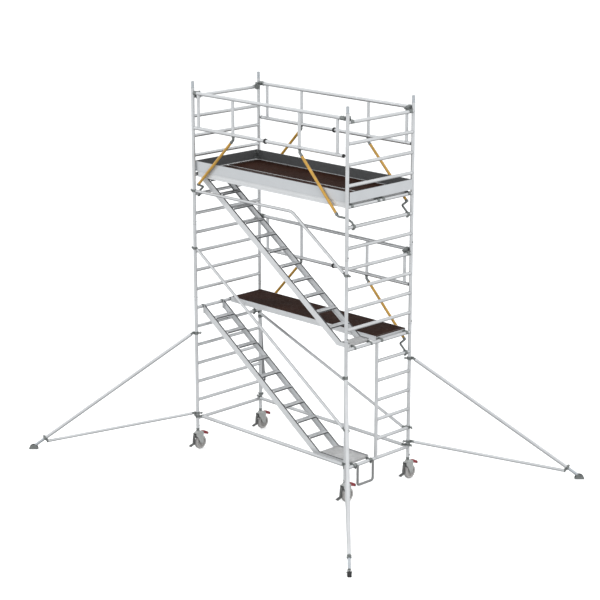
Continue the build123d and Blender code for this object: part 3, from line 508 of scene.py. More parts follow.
# Painted reflection: dark metal for the strips on the stringers' top flanges and the treads' noses, standing
# in for dark surroundings mirrored along those edges.
REFLECTION_STRIP = metal("painted_reflection_strip", (0.075, 0.078, 0.082), 0.40, 0.50, cloud=8.0, vary=0.15)
LANDING = grooved("landing_sheet", (0.42, 0.42, 0.42), 60, metallic=0.3)


def paint(node, material):
    """Give a CAD node its finish."""
    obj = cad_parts[node]
    if not obj.material_slots:
        obj.data.materials.append(material)
    for entry in obj.material_slots:
        entry.material = material


# Frames

def frame_welds():
    """Beads where rungs meet posts, one piece for each frame."""
    spans = {"lower": (1, 7), "middle": (8, 11), "upper": (12, 18)}
    up = Vector((0, 0, 1))
    for level, (first, last) in spans.items():
        for name, side in (("left", -1), ("right", 1)):
            passage = level == "lower" and name == "right"
            sketch = Sketch()
            x = side * HALF_BAY
            for number in range(first, last + 1):
                z = rung_z(number)
                half_rung = passage and first < number < last
                sketch.weld((x, HALF_WIDTH, z), up, (0, -1, 0), POST_RADIUS, RUNG_RADIUS)
                if half_rung:
                    sketch.weld((x, PASSAGE_POST, z), up, (0, 1, 0), RUNG_RADIUS, RUNG_RADIUS * 0.99)
                else:
                    sketch.weld((x, -HALF_WIDTH, z), up, (0, 1, 0), POST_RADIUS, RUNG_RADIUS)
            if passage:
                for number, direction in ((first, 1), (last, -1)):
                    place = (x, PASSAGE_POST, rung_z(number))
                    sketch.weld(place, (0, 1, 0), (0, 0, direction), RUNG_RADIUS, RUNG_RADIUS * 0.99)
            piece(sketch, f"{level}_{name}_welds", "root", WELD)


def lock_pins():
    """Cross pins with a spring clip that wraps the post."""
    sketch = Sketch()
    for side, y_side, _ in CORNERS.values():
        for joint in (POST_BOTTOM, MIDDLE_JOINT, UPPER_JOINT):
            x = side * HALF_BAY
            y = y_side * HALF_WIDTH
            z = joint + 0.035
            outer = POST_RADIUS + 0.002
            sketch.bar((x - side * 0.032, y, z), (x + side * outer, y, z), 0.0045, 14)
            head = [(0, 0), (0.0095, 0), (0.010, 0.001), (0.010, 0.0055), (0.0085, 0.007), (0, 0.007)]
            sketch.lathe(head, (x + side * outer, y, z), (side, 0, 0), 18)
            reach = POST_RADIUS + 0.0035
            loop = []
            for step in range(15):
                angle = math.radians(20 + step * 10)
                loop.append((x + side * reach * math.cos(angle), y + reach * math.sin(angle), z))
            start = (x + side * (outer + 0.003), y, z + 0.001)
            sketch.sweep([start, *loop], 0.0012, 8)
    piece(sketch, "lock_pins", "root", ZINC, ["frame_lock_pins"])


def post_caps():
    """Collar rings at the joints of the posts."""
    sketch = Sketch()
    for side, y_side, _ in CORNERS.values():
        for joint in (MIDDLE_JOINT, UPPER_JOINT, POST_TOP):
            place = (side * HALF_BAY, y_side * HALF_WIDTH, joint - 0.0015)
            inner = POST_RADIUS + 0.0001
            outer = POST_RADIUS + 0.0011
            ring = [(inner, -0.004), (outer, -0.004), (outer, 0.0012), (inner, 0.0012)]
            sketch.lathe(ring, place, (0, 0, 1), 40, loop=True)
    piece(sketch, "post_joint_rings", "root", WELD)


# Couplers and clamps

BAND_WALL = 0.007


def band(sketch, centre, height, lug, bolt):
    """Cast coupler on a post: jaws, a hinge knuckle and a bolt with a flange nut and wings.

    lug and bolt are level directions. The knuckle is square to the lug.
    """
    centre, lug, bolt = Vector(centre), unit(lug), unit(bolt)
    inner = POST_RADIUS + HUG
    outer = inner + BAND_WALL
    waist = outer - 0.002
    half = height / 2
    lip = 0.0025
    profile = [
        (inner, -half), (outer - lip, -half), (outer, -half + lip), (outer, -half * 0.45),
        (waist, -half * 0.32), (waist, half * 0.32), (outer, half * 0.45), (outer, half - lip),
        (outer - lip, half), (inner, half),
    ]
    sketch.ring(profile, centre, UP, 40)
    knuckle = centre + lug.cross(UP) * (outer + 0.003)
    sketch.bar(knuckle - UP * half, knuckle + UP * half, 0.0055, 14)
    start = centre + bolt * waist
    sketch.bar(start, start + bolt * 0.054, BOLT_RADIUS, 14)
    flange = [(0, 0), (0.0155, 0), (0.0155, 0.003), (0.0135, 0.0045), (0, 0.0045)]
    sketch.lathe(flange, start + bolt * 0.005, bolt, 24)
    nut = [(0, 0), (0.0130, 0), (0.0130, 0.011), (0.0110, 0.0125), (0, 0.0125)]
    sketch.lathe(nut, start + bolt * 0.009, bolt, 6)
    hub = start + bolt * 0.022
    sketch.lathe([(0, 0), (0.0115, 0), (0.0115, 0.010), (0.0090, 0.016), (0, 0.016)], hub, bolt, 20)
    for tip in (-UP, UP):
        steps = ((0.006, 0.006), (0.008, 0.016), (0.014, 0.022))
        sketch.sweep([hub + bolt * out + tip * rise for out, rise in steps], 0.0052, 12)


def box_between(sketch, start, end, width, height, up=(0, 0, 1)):
    """Bar of rectangular section from start to end."""
    start, end = Vector(start), Vector(end)
    along = (end - start).normalized()
    up = Vector(up)
    across = along.cross(up).normalized()
    over = across.cross(along)
    corner = [(a * width / 2, b * height / 2) for a, b in ((-1, -1), (1, -1), (1, 1), (-1, 1))]
    sketch.skin([[point + across * a + over * b for a, b in corner] for point in (start, end)])


BASE_RISE = 0.026               # base tubes above the lowest rung
BRACE_INSET = 0.048             # brace line inside the post line
BRACE_END = 0.060               # post axis to a brace tube's end
DIAGONAL_DROP = 0.033
DIAGONAL_RISE = 0.010
STEP_RADIUS = 0.017
HANDRAIL_CLAMPS = ((-1, 3.896), (1, 3.206), (-1, 3.055), (1, 1.050))


def handrail_coupler(sketch, side, z):
    x = side * HALF_BAY
    band(sketch, (x, -HALF_WIDTH, z), 0.036, (-side, 0, 0), (side, 0, 0))
    start, end = (Vector((x - side * reach, -HALF_WIDTH, z)) for reach in (0.030, 0.048))
    box_between(sketch, start, end, 0.018, 0.034)


def brace_coupler(sketch, side, y_side, z, slope):
    """Band on a post with an arm and a plug that follows its tube's slope."""
    x = side * HALF_BAY
    y = y_side * HALF_WIDTH
    line = y_side * (HALF_WIDTH - BRACE_INSET)
    band(sketch, (x, y, z), 0.040, (-side, 0, 0), (side, 0, 0))
    arm = (x - side * 0.028, y - y_side * 0.006, z), (x - side * 0.046, line, z)
    box_between(sketch, *arm, 0.020, 0.030)
    end = x - side * BRACE_END
    plug = [Vector((end + side * reach, line, z + slope * side * reach)) for reach in (0.016, -0.018)]
    sketch.bar(*plug, 0.019, 24, 0.003)
    sketch.bolt((x - side * 0.046, line - y_side * 0.010, z), (0, -y_side, 0), 0.008, 0.007)


def step_clamp(sketch, y):
    """Ring round the lowest rung with a bolt below it."""
    outer = SADDLE_RADIUS + 0.007
    flat = outer - 0.002
    ring = [
        (SADDLE_RADIUS, -0.015), (flat, -0.015), (outer, -0.012), (outer, 0.012), (flat, 0.015),
        (SADDLE_RADIUS, 0.015),
    ]
    centre = Vector((HALF_BAY, y, rung_z(1)))
    sketch.ring(ring, centre, Y_AXIS, 36)
    below = centre - UP * (SADDLE_RADIUS + 0.004)
    sketch.bar(below, below - UP * 0.026, BOLT_RADIUS, 14)
    sketch.bolt(below - UP * 0.006, -UP, 0.011, 0.011)


def tube_couplers():
    """Clamps of the handrails, base tubes, rear diagonal and entry step."""
    sketch = Sketch()
    for side, z in HANDRAIL_CLAMPS:
        handrail_coupler(sketch, side, z)
    for side in (-1, 1):
        for y_side in (-1, 1):
            brace_coupler(sketch, side, y_side, rung_z(1) + BASE_RISE, 0)
    high, low = rung_z(6) - DIAGONAL_DROP, rung_z(2) + DIAGONAL_RISE
    slope = (low - high) / (2 * (HALF_BAY - BRACE_END))
    brace_coupler(sketch, -1, 1, high, slope)
    brace_coupler(sketch, 1, 1, low, slope)
    low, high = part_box("entry_step")
    for y in (low.y + STEP_RADIUS, high.y - STEP_RADIUS):
        step_clamp(sketch, y)
    piece(sketch, "couplers", "root", ZINC, ["tube_couplers"], bevel=0.0008)


def entry_step():
    """Bent stirrup in one run, with a bead under each clamp ring."""
    low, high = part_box("entry_step")
    radius = STEP_RADIUS
    x = high.x - radius
    top = rung_z(1) + 0.004
    points = [
        (x, low.y + radius, top), (x, low.y + radius, low.z + radius),
        (x, high.y - radius, low.z + radius), (x, high.y - radius, top),
    ]
    sketch = Sketch()
    sketch.sweep(bend(points, 0.036, 10), radius, 24, bore=radius - 0.003)
    for y in (low.y + radius, high.y - radius):
        sketch.weld((x, y, rung_z(1) - 0.030), (1, 0, 0), (0, 0, -1), 0.002, radius, bead=0.0022)
    piece(sketch, "entry_stirrup", "root", STEP, ["entry_step"])


# Rung hooks

def claw(sketch, width, neck_end, neck_low, neck_high, wall=0.009):
    """Saddle over a rung along Y through the origin, with a neck towards +X and a rib over its back."""
    outer = SADDLE_RADIUS + wall
    half = width / 2
    turns = [12.5 * step for step in range(17)]
    outline = arc(outer, [10 + turn for turn in turns]) + arc(SADDLE_RADIUS, [210 - turn for turn in turns])
    sketch.extrude(outline, "y", -half, half)
    sketch.block((SADDLE_RADIUS + 0.0005, -half, neck_low), (neck_end, half, neck_high))
    rise = 0.004
    rib = arc(outer * 0.995, (48, 70, 92))
    rib += [(rise, outer + rise), (neck_end, neck_high + rise), (neck_end, neck_high - 0.002)]
    sketch.extrude(rib, "y", -0.003, 0.003)


def at_rung(side, y, z):
    return moved((side * HALF_BAY, y, z), 0 if side < 0 else 180)


STAIRS = (
    {"name": "upper", "top_rung": 14, "rise": 1.960, "treads": 11},
    {"name": "lower", "top_rung": 7, "rise": 1.680, "treads": 9},
)
STAIR_SLOPE = 0.704
STRINGER = 0.024
TREAD_RISE = 0.168
PLATFORM_DEPTH = 0.080
DECK_ABOVE_RUNG = 0.055
LANDING_HOOK_INSET = 0.028
HOOK_INSET = 0.044              # platform hooks from its side
HOOK_TOP = 0.033
stair_low, stair_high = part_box("upper_stair_stringers")
STRINGER_LINES = (stair_low.y + STRINGER / 2, stair_high.y - STRINGER / 2)
platform_low, platform_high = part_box("upper_front_platform_frame")
PLATFORM_END = platform_high.x
PLATFORMS = ("upper_front", "upper_rear", "middle")


def platform_box(name):
    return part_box(f"{name}_platform_frame")


def platform_hook(sketch):
    """Hook of a platform at the origin, with its bolt and rivet."""
    neck_end = HALF_BAY - PLATFORM_END
    claw(sketch, 0.040, neck_end, -0.016, HOOK_TOP)
    sketch.bolt((neck_end - 0.004, 0.012, 0.020), UP, 0.005, 0.004, washer=False)
    rivet = [(0, 0), (0.0075, 0), (0.0075, 0.003), (0, 0.003)]
    sketch.lathe(rivet, (neck_end - 0.003, -0.012, HOOK_TOP), UP, 14)


def stair_strap(sketch):
    """Upper hook of a stringer: a saddle on a plate that drops behind the stringer's end."""
    half = STRINGER / 2
    near, far = 0.028, 0.042
    claw(sketch, STRINGER, far, -0.010, 0.030, wall=0.007)
    sketch.block((near, -half, -0.096), (far, half, -0.010))
    for height in (-0.080, -0.045):
        sketch.rivet((near, 0, height), -X_AXIS, 0.005)


def rung_hooks():
    """Hooks of the platforms and stairs."""
    sketch = Sketch()
    for name in PLATFORMS:
        low, high = platform_box(name)
        for side in (-1, 1):
            for y in (low.y + HOOK_INSET, high.y - HOOK_INSET):
                sketch.place = at_rung(side, y, high.z - DECK_ABOVE_RUNG)
                platform_hook(sketch)
    for stair in STAIRS:
        bottom = stair["top_rung"] - round(stair["rise"] / RUNG_PITCH)
        for y, inboard in zip(STRINGER_LINES, (LANDING_HOOK_INSET, -LANDING_HOOK_INSET)):
            sketch.place = at_rung(1, y + inboard, rung_z(bottom))
            claw(sketch, STRINGER, HALF_BAY - PLATFORM_END, -0.006, 0.040)
            sketch.place = at_rung(-1, y, rung_z(stair["top_rung"]))
            stair_strap(sketch)
    piece(sketch, "hooks", "root", ZINC, ["platform_and_stair_hooks"], bevel=0.0012)


# Platforms

BEAM_FLANGE = 0.018
SHELF = -0.0122                 # flange under the deck, from the beam's top
RIVET_RADIUS = 0.0045


def beam_section(direction):
    """Outline of a side beam in (y, z) from its outer top corner, reaching inboard."""
    low = -PLATFORM_DEPTH
    wall = 0.003
    groove = 0.0018
    inner = wall + groove
    lip = 0.0038
    points = [
        (0, 0), (0, -0.018), (groove, -0.020), (groove, -0.024), (0, -0.026), (0, -0.054),
        (groove, -0.056), (groove, -0.060), (0, -0.062), (0, low), (BEAM_FLANGE, low),
        (BEAM_FLANGE, low + 0.010), (BEAM_FLANGE - wall, low + 0.010), (BEAM_FLANGE - wall, low + wall),
        (inner, low + wall), (inner, SHELF - wall), (BEAM_FLANGE, SHELF - wall), (BEAM_FLANGE, SHELF),
        (lip, SHELF), (lip, 0),
    ]
    return [(direction * a, b) for a, b in points]


def hollow_member(sketch, x_span, y_span, z_span, wall=0.002):
    """Rectangular hollow section along Y."""
    (x0, x1), (low, high) = x_span, z_span
    outside = [(x0, high), (x1, high), (x1, low), (x0, low)]
    inside = [
        (x0 + wall, high - wall), (x1 - wall, high - wall), (x1 - wall, low + wall), (x0 + wall, low + wall)
    ]
    y0, y1 = y_span
    rings = [
        [(x, y, z) for x, z in loop]
        for loop, y in ((outside, y0), (outside, y1), (inside, y1), (inside, y0))
    ]
    sketch.skin(rings, loop=True)


def platforms():
    """Side beams with grooved webs, end beams, cross members and the rivets that join them."""
    end_width, end_depth = 0.025, 0.060
    member_half, member_depth = 0.015, 0.040
    for name in PLATFORMS:
        low, high = platform_box(name)
        middle = (low.y + high.y) / 2
        inner = (high.y - low.y) / 2 - BEAM_FLANGE
        sketch = Sketch()
        for edge, direction in ((low.y, 1), (high.y, -1)):
            outline = [(edge + a, high.z + b) for a, b in beam_section(direction)]
            sketch.extrude(outline, "x", low.x, high.x)
        deck_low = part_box(DECK_NODES[name])[0].z
        crossings = (-0.72, 0.0, 0.72)
        if name == "upper_front":
            crossings = (hatch_low.x - 0.021, hatch_high.x + 0.021, 0.48)
        members = [(low.x, low.x + end_width, end_depth), (high.x - end_width, high.x, end_depth)]
        members += [(x - member_half, x + member_half, member_depth) for x in crossings]
        for start, end, depth in members:
            y_span = (middle - inner, middle + inner)
            hollow_member(sketch, (start, end), y_span, (deck_low - depth, deck_low))
            for edge, direction in ((low.y, -1), (high.y, 1)):
                for drop in (0.014, depth - 0.010):
                    place = ((start + end) / 2, edge, deck_low - drop)
                    sketch.rivet(place, (0, direction, 0), RIVET_RADIUS)
        stands_for = [f"{name}_platform_frame"]
        piece(sketch, f"{name}_platform", "root", PROFILE, stands_for, bevel=0.0008)


DECK_NODES = {"upper_front": "upper_front_deck", "upper_rear": "upper_rear_deck", "middle": "middle_deck"}
hatch_low, hatch_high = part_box("hatch_panel")


END_STRIP_REACH = 0.051         # past the deck's end, over the hooks, to the end toe board
END_STRIP = 0.022
STRIP_BASE = 0.0004             # strips sink this far into the deck
STRIP_TOP = 0.0016
DECK_RIVETS = 15


def hatch_frame(strips, top):
    """Strip round the trapdoor's opening."""
    edge = 0.014
    x0, x1 = hatch_low.x - HATCH_GAP, hatch_high.x + HATCH_GAP
    y0, y1 = hatch_opening[0] - HATCH_GAP, hatch_opening[1] + HATCH_GAP
    low, high = top - STRIP_BASE, top + STRIP_TOP
    for near, far in ((y0 - edge, y0), (y1, y1 + edge)):
        strips.block((x0 - edge, near, low), (x1 + edge, far, high))
    for near, far in ((x0 - edge, x0), (x1, x1 + edge)):
        strips.block((near, y0, low), (far, y1, high))


def deck_trim():
    """Rows of rivets along each deck's long edges, and strips on its ends and round the trapdoor."""
    rivets = Sketch()
    strips = Sketch()
    for name, node in DECK_NODES.items():
        low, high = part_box(node)
        for k in range(DECK_RIVETS):
            x = low.x + 0.06 + (high.x - low.x - 0.12) * k / (DECK_RIVETS - 1)
            for y in (low.y + 0.016, high.y - 0.016):
                rivets.rivet((x, y, high.z - 0.0002), UP, 0.005)
        overhang = END_STRIP_REACH if name != "middle" else 0
        for x0, x1 in ((low.x - overhang, low.x + END_STRIP), (high.x - END_STRIP, high.x + overhang)):
            strips.block((x0, low.y + 0.001, high.z - STRIP_BASE), (x1, high.y - 0.001, high.z + STRIP_TOP))
    hatch_frame(strips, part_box("upper_front_deck")[1].z)
    piece(rivets, "deck_rivets", "root", TRIM)
    piece(strips, "deck_end_strips", "root", TRIM, bevel=0.0005)


# Hatch

HATCH_WIDTH = 0.500
HATCH_GAP = 0.003
HATCH_THICK = 0.010
HATCH_RIM = 0.014
front_middle = (platform_low.y + platform_high.y) / 2
hatch_opening = (front_middle - HATCH_WIDTH / 2 + HATCH_GAP, front_middle + HATCH_WIDTH / 2 - HATCH_GAP)
HINGE_PLACES = (-1.200, -0.880, -0.560)
HINGE_RISE = 0.004
HINGE_Y = front_middle - HATCH_WIDTH / 2 - 0.002
BARREL_RADIUS = 0.006
KNUCKLE_HALF = 0.008


def hatch_edging(top):
    """Frame round the board, hinge knuckles on their leaves, and a row of rivets."""
    sketch = Sketch()
    (y0, y1), (x0, x1) = hatch_opening, (hatch_low.x, hatch_high.x)
    corners = ((x0, y0, 1, 1), (x1, y0, -1, 1), (x1, y1, -1, -1), (x0, y1, 1, -1))
    outer = [(x, y) for x, y, _, _ in corners]
    inner = [(x + a * HATCH_RIM, y + b * HATCH_RIM) for x, y, a, b in corners]
    low = top - HATCH_THICK
    rings = [
        [(x, y, z) for x, y in loop]
        for loop, z in ((outer, low), (outer, top), (inner, top), (inner, low))
    ]
    sketch.skin(rings, loop=True)
    bore, length = 0.0031, 2 * KNUCKLE_HALF
    knuckle = [(bore, 0), (BARREL_RADIUS, 0), (BARREL_RADIUS, length), (bore, length)]
    for hinge in HINGE_PLACES:
        for offset in (-0.020, 0.020):
            x = hinge + offset - KNUCKLE_HALF
            sketch.ring(knuckle, (x, HINGE_Y, top + 0.002 + HINGE_RISE), X_AXIS, 20)
            sketch.block((x, HINGE_Y + 0.004, top), (x + length, HINGE_Y + 0.028, top + 0.0035))
    for k in range(9):
        x = x0 + 0.05 + (x1 - x0 - 0.10) * k / 8
        sketch.rivet((x, y1 - HATCH_RIM / 2, top), UP, 0.0035)
    piece(sketch, "hatch_edging", "hatch", TRIM, bevel=0.0006)


def lifting_ring(top):
    """Ring in a raised dish near the trapdoor's free edge."""
    sketch = Sketch()
    centre = Vector(((hatch_low.x + hatch_high.x) / 2, hatch_opening[1] - 0.075, top))
    dish = [(0.018, 0), (0.030, 0), (0.030, 0.0016), (0.026, 0.0022), (0.018, 0.0016)]
    sketch.ring(dish, centre, UP)
    turns = (2 * math.pi * k / 28 for k in range(28))
    loop = [centre + Vector((0.014 * math.cos(t), 0.014 * math.sin(t), 0.0022)) for t in turns]
    sketch.sweep(loop, 0.0020, 10, closed=True)
    piece(sketch, "hatch_lifting_ring", "hatch", ZINC)


def hatch():
    """Trapdoor board, its edging and its lifting ring."""
    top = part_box("upper_front_deck")[1].z
    board = Sketch()
    board.block(
        (hatch_low.x + HATCH_RIM, hatch_opening[0] + HATCH_RIM, top - HATCH_THICK + 0.0005),
        (hatch_high.x - HATCH_RIM, hatch_opening[1] - HATCH_RIM, top - 0.0006),
    )
    piece(board, "hatch_board", "hatch", DECK, ["hatch_panel"], bevel=0.0006)
    hatch_edging(top)
    lifting_ring(top)


def hatch_hinges():
    """Fixed leaves of the hinges, each with its pin and a middle knuckle."""
    sketch = Sketch()
    top = platform_high.z
    axis_z = top + HINGE_RISE
    for x in HINGE_PLACES:
        sketch.bar((x - 0.029, HINGE_Y, axis_z), (x + 0.029, HINGE_Y, axis_z), 0.003, 16, 0.0005)
        sketch.bar((x - 0.009, HINGE_Y, axis_z), (x + 0.009, HINGE_Y, axis_z), BARREL_RADIUS, 20, 0.0006)
        sketch.block((x - 0.009, HINGE_Y - 0.008, top - 0.002), (x + 0.009, HINGE_Y - 0.003, top + 0.002))
        sketch.block((x - 0.030, HINGE_Y - 0.024, top - 0.002), (x + 0.030, HINGE_Y - 0.004, top + 0.0004))
        for offset in (-0.022, 0.0, 0.022):
            sketch.rivet((x + offset, HINGE_Y - 0.016, top + 0.0004), UP, 0.003)
    piece(sketch, "hatch_hinge_leaves", "root", PROFILE, ["hatch_hinges"], bevel=0.0005)


# Toe boards

BOARD_THICK = 0.022
BOARD_SKIN = 0.0025
BOARD_FOOT = 0.009
BRACKET_PLATE = 0.0018
BRACKET_REACH = 0.050
BRACKET_HEIGHT = 0.028


def corner_bracket(sketch, corner, x_in, y_in):
    """Angle in an inside corner of the toe boards, with a rivet in each leg."""
    x, y, z = corner
    for x_reach, y_reach in ((BRACKET_PLATE, BRACKET_REACH), (BRACKET_REACH, BRACKET_PLATE)):
        sketch.block(corner, (x + x_in * x_reach, y + y_in * y_reach, z + BRACKET_HEIGHT))
    middle = z + BRACKET_HEIGHT / 2
    near, far = BRACKET_PLATE, 0.036
    sketch.rivet((x + x_in * near, y + y_in * far, middle), (x_in, 0, 0), RIVET_RADIUS)
    sketch.rivet((x + x_in * far, y + y_in * near, middle), (0, y_in, 0), RIVET_RADIUS)


def toe_boards():
    """Boards with a pale outer skin and foot, a dark core and top edge whose dark inner face is painted
    shade, and steel corner brackets.
    """
    skins = Sketch()
    shade_liners = Sketch()
    side_low, side_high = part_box("side_toe_boards")
    end_low, end_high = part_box("end_toe_boards")
    height = side_high.z - side_low.z
    skin_top = height - 0.0005
    skin = [
        (0, 0), (0, skin_top), (BOARD_SKIN, skin_top), (BOARD_SKIN, BOARD_FOOT), (BOARD_THICK, BOARD_FOOT),
        (BOARD_THICK, 0),
    ]
    # The core's dark material is painted shade on the boards' inner faces; it also forms the top edge.
    core = [(BOARD_SKIN, BOARD_FOOT), (BOARD_SKIN, height), (BOARD_SKIN + 0.002, height),
            (BOARD_THICK - 0.002, height), (BOARD_THICK, height - 0.002), (BOARD_THICK, BOARD_FOOT)]
    clearance = 0.0005
    for edge, direction in ((side_low.y, 1), (side_high.y, -1)):
        for sketch, section in ((skins, skin), (shade_liners, core)):
            outline = [(edge + direction * a, side_low.z + b) for a, b in section]
            sketch.extrude(outline, "x", side_low.x + clearance, side_high.x - clearance)
    for edge, direction in ((end_low.x, 1), (end_high.x, -1)):
        for sketch, section in ((skins, skin), (shade_liners, core)):
            outline = [(edge + direction * a, end_low.z + b) for a, b in section]
            sketch.extrude(outline, "y", end_low.y, end_high.y)
    nodes = ["side_toe_boards", "end_toe_boards"]
    piece(skins, "toe_board_skins", "root", BOARD, nodes, bevel=0.0008)
    piece(shade_liners, "toe_board_shade_liners", "root", PAINTED_SHADE, bevel=0.0008)
    brackets = Sketch()
    for x_edge, x_in in ((end_low.x, 1), (end_high.x, -1)):
        for y_edge, y_in in ((side_low.y, 1), (side_high.y, -1)):
            for base in (0.020, 0.094):
                corner = (x_edge + x_in * BOARD_THICK, y_edge + y_in * BOARD_THICK, side_low.z + base)
                corner_bracket(brackets, corner, x_in, y_in)
    piece(brackets, "toe_board_brackets", "root", ZINC, bevel=0.0004)


# Stairs

TREAD_HALF = 0.0425
TREAD_THICK = 0.014             # half of the tread's thickness
STRIP_WIDTH = STRINGER - 0.003


def tread_section(x, z):
    """Grooved channel section of a tread, round its middle."""
    half, thick = TREAD_HALF, TREAD_THICK
    outline = [(-half, -thick), (-half, thick - 0.003), (-half + 0.003, thick)]
    for groove in range(8):
        start = -half + 0.007 + groove * 0.009
        floor_z = thick - 0.002
        outline += [
            (start, thick), (start + 0.001, floor_z), (start + 0.004, floor_z), (start + 0.005, thick)
        ]
    outline += [
        (half - 0.004, thick), (half, thick - 0.004), (half, -thick), (half - 0.003, -thick),
        (half - 0.003, thick - 0.007), (-half + 0.003, thick - 0.007), (-half + 0.003, -thick),
    ]
    return [(x + a, z + b) for a, b in outline]


def stringer_reflection_strips(edges, stair, top, landing, foot_x):
    """Dark strips on the top flanges, down the slope and along the landing: painted reflection of dark
    surroundings along the flanges' edges.
    """
    box_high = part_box(f"{stair['name']}_stair_stringers")[1]
    head_z = min(top - STAIR_SLOPE * 0.042, box_high.z) - 0.004
    head_x = -HALF_BAY + (top - head_z) / STAIR_SLOPE
    rise = 0.0008
    for y in STRINGER_LINES:
        line = [
            (head_x, y, head_z + rise), (foot_x, y, landing + rise), (box_high.x - 0.002, y, landing + rise)
        ]
        for start, end in zip(line, line[1:]):
            box_between(edges, start, end, STRIP_WIDTH, 0.0020)


def stairs():
    """Grooved treads with a dark nosing of painted reflection, their screws, and the painted-reflection
    strips on the stringers.
    """
    treads = Sketch()
    screws = Sketch()
    # Painted reflection: dark strips along the treads' noses and the stringers' top flanges.
    edges = Sketch()
    y_low = stair_low.y + STRINGER
    y_high = stair_high.y - STRINGER
    for stair in STAIRS:
        top = rung_z(stair["top_rung"]) + DECK_ABOVE_RUNG
        landing = top - stair["rise"]
        foot_x = -HALF_BAY + stair["rise"] / STAIR_SLOPE
        for step in range(1, stair["treads"] + 1):
            climb = step * TREAD_RISE
            x = foot_x - climb / STAIR_SLOPE
            z = landing + climb - 0.019
            treads.extrude(tread_section(x, z), "y", y_low, y_high)
            # Dark nosing strip: painted reflection along the tread's front edge.
            nose = x + TREAD_HALF
            edges.block(
                (nose - 0.0005, y_low + 0.002, z - TREAD_THICK + 0.001),
                (nose + 0.0012, y_high - 0.002, z + 0.004),
            )
            for offset in (-0.024, 0.024):
                height = z + 0.002 - offset * STAIR_SLOPE
                screws.rivet((x + offset, stair_low.y, height), -Y_AXIS, RIVET_RADIUS)
                screws.rivet((x + offset, stair_high.y, height), Y_AXIS, RIVET_RADIUS)
        stringer_reflection_strips(edges, stair, top, landing, foot_x)
    piece(treads, "treads", "root", TREAD, ["stair_treads"])
    piece(edges, "stair_reflection_strips", "root", REFLECTION_STRIP, bevel=0.0004)
    piece(screws, "tread_screws", "root", WELD)


# Guard frames

GUARD_RAIL_RISE = 0.050
GUARD_KNEE_DROP = 0.495
GUARD_UPRIGHTS = (0.115, 0.820, 2.115, 2.820)
GUARD_TUBE = 0.025
GUARD_BRACES = (((0.790, -0.548), (0.106, -1.233)), ((2.158, -0.548), (2.800, -1.228)))
CLIP_DROP = -5 * RUNG_PITCH
CLIP_OUTER = SADDLE_RADIUS + 0.009
CLIP_HALF = 0.020
HOOK_BAR = 0.015
NEAR_CLIP = 0.088
FAR_CLIP = 0.120
GUARD_DROP = -7 * RUNG_PITCH
HALF_TURN = Matrix.Rotation(math.pi, 4, "Z")
GUARDS = {
    "upper_front": Matrix.Identity(4),
    "upper_rear": HALF_TURN,
    "middle_rear": Matrix.Translation((0, 0, GUARD_DROP)) @ HALF_TURN,
}


def guard_xyz(along, inward, up):
    """Point of the upper front guard, along from its near post, inward of the posts, up from its rung."""
    return Vector((-HALF_BAY + along, -HALF_WIDTH + inward, rung_z(RUNG_TOTAL) + up))


def rung_clip(sketch, centre, lean):
    """Hinged clip closed round a rung that runs along Y: grooved ring, knuckle and latch."""
    groove = CLIP_OUTER - 0.0012
    ring = [
        (SADDLE_RADIUS, -CLIP_HALF), (CLIP_OUTER - 0.001, -CLIP_HALF), (CLIP_OUTER, -CLIP_HALF + 0.001),
        (CLIP_OUTER, -0.012), (groove, -0.010), (groove, 0.010), (CLIP_OUTER, 0.012),
        (CLIP_OUTER, CLIP_HALF - 0.001), (CLIP_OUTER - 0.001, CLIP_HALF), (SADDLE_RADIUS, CLIP_HALF),
    ]
    sketch.lathe(ring, centre, (0, 1, 0), 40, loop=True)
    side = Vector((lean * (CLIP_OUTER + 0.002), 0, -0.010))
    sketch.bar(
        centre + side - Vector((0, CLIP_HALF, 0)), centre + side + Vector((0, CLIP_HALF, 0)), 0.0055, 14
    )
    under = centre - Vector((0, 0, CLIP_OUTER))
    sketch.block(under + Vector((-0.011, -0.016, -0.012)), under + Vector((0.011, 0.016, 0.004)))
    sketch.bar(under + Vector((0, -0.018, -0.006)), under + Vector((0, 0.018, -0.006)), 0.004, 12)


GUARD_KNEE = GUARD_RAIL_RISE - GUARD_KNEE_DROP
GUARD_RAIL_END = 2.925           # knee rail's far end from the near post


def guard_welds(name, place):
    """Beads where the uprights meet the rails."""
    welds = Sketch(place)
    for along in GUARD_UPRIGHTS:
        welds.weld(guard_xyz(along, 0, GUARD_RAIL_RISE), X_AXIS, -UP, GUARD_TUBE, 0.022)
        welds.weld(guard_xyz(along, 0, GUARD_KNEE), X_AXIS, UP, GUARD_TUBE, 0.022)
    piece(welds, f"{name}_guard_welds", "root", WELD)


def guard_ring_and_cap(name, place):
    """Ribbed rubber ring on the knee rail's joint, and the cap on its end."""
    centre = (GUARD_UPRIGHTS[0] + GUARD_UPRIGHTS[-1]) / 2
    trims = Sketch(place)
    ring = [
        (0.0252, -0.014), (0.033, -0.014), (0.0355, -0.011), (0.036, -0.007), (0.036, 0.007),
        (0.0355, 0.011), (0.033, 0.014), (0.0252, 0.014),
    ]
    trims.ring(ring, guard_xyz(centre, 0, GUARD_KNEE), X_AXIS, 40)
    for spoke in range(8):
        angle = math.pi * spoke / 4
        out = Vector((0, math.cos(angle), math.sin(angle)))
        trims.bar(
            guard_xyz(centre - 0.013, 0, GUARD_KNEE) + out * 0.034,
            guard_xyz(centre + 0.013, 0, GUARD_KNEE) + out * 0.034, 0.004, 10,
        )
    end = guard_xyz(GUARD_RAIL_END, 0, GUARD_KNEE)
    cap = [(0, 0), (0.026, 0), (0.026, 0.012), (0.0245, 0.016), (0.020, 0.018), (0, 0.018)]
    trims.lathe(cap, end, X_AXIS, 32)
    piece(trims, f"{name}_guard_ring_and_cap", "root", RUBBER)


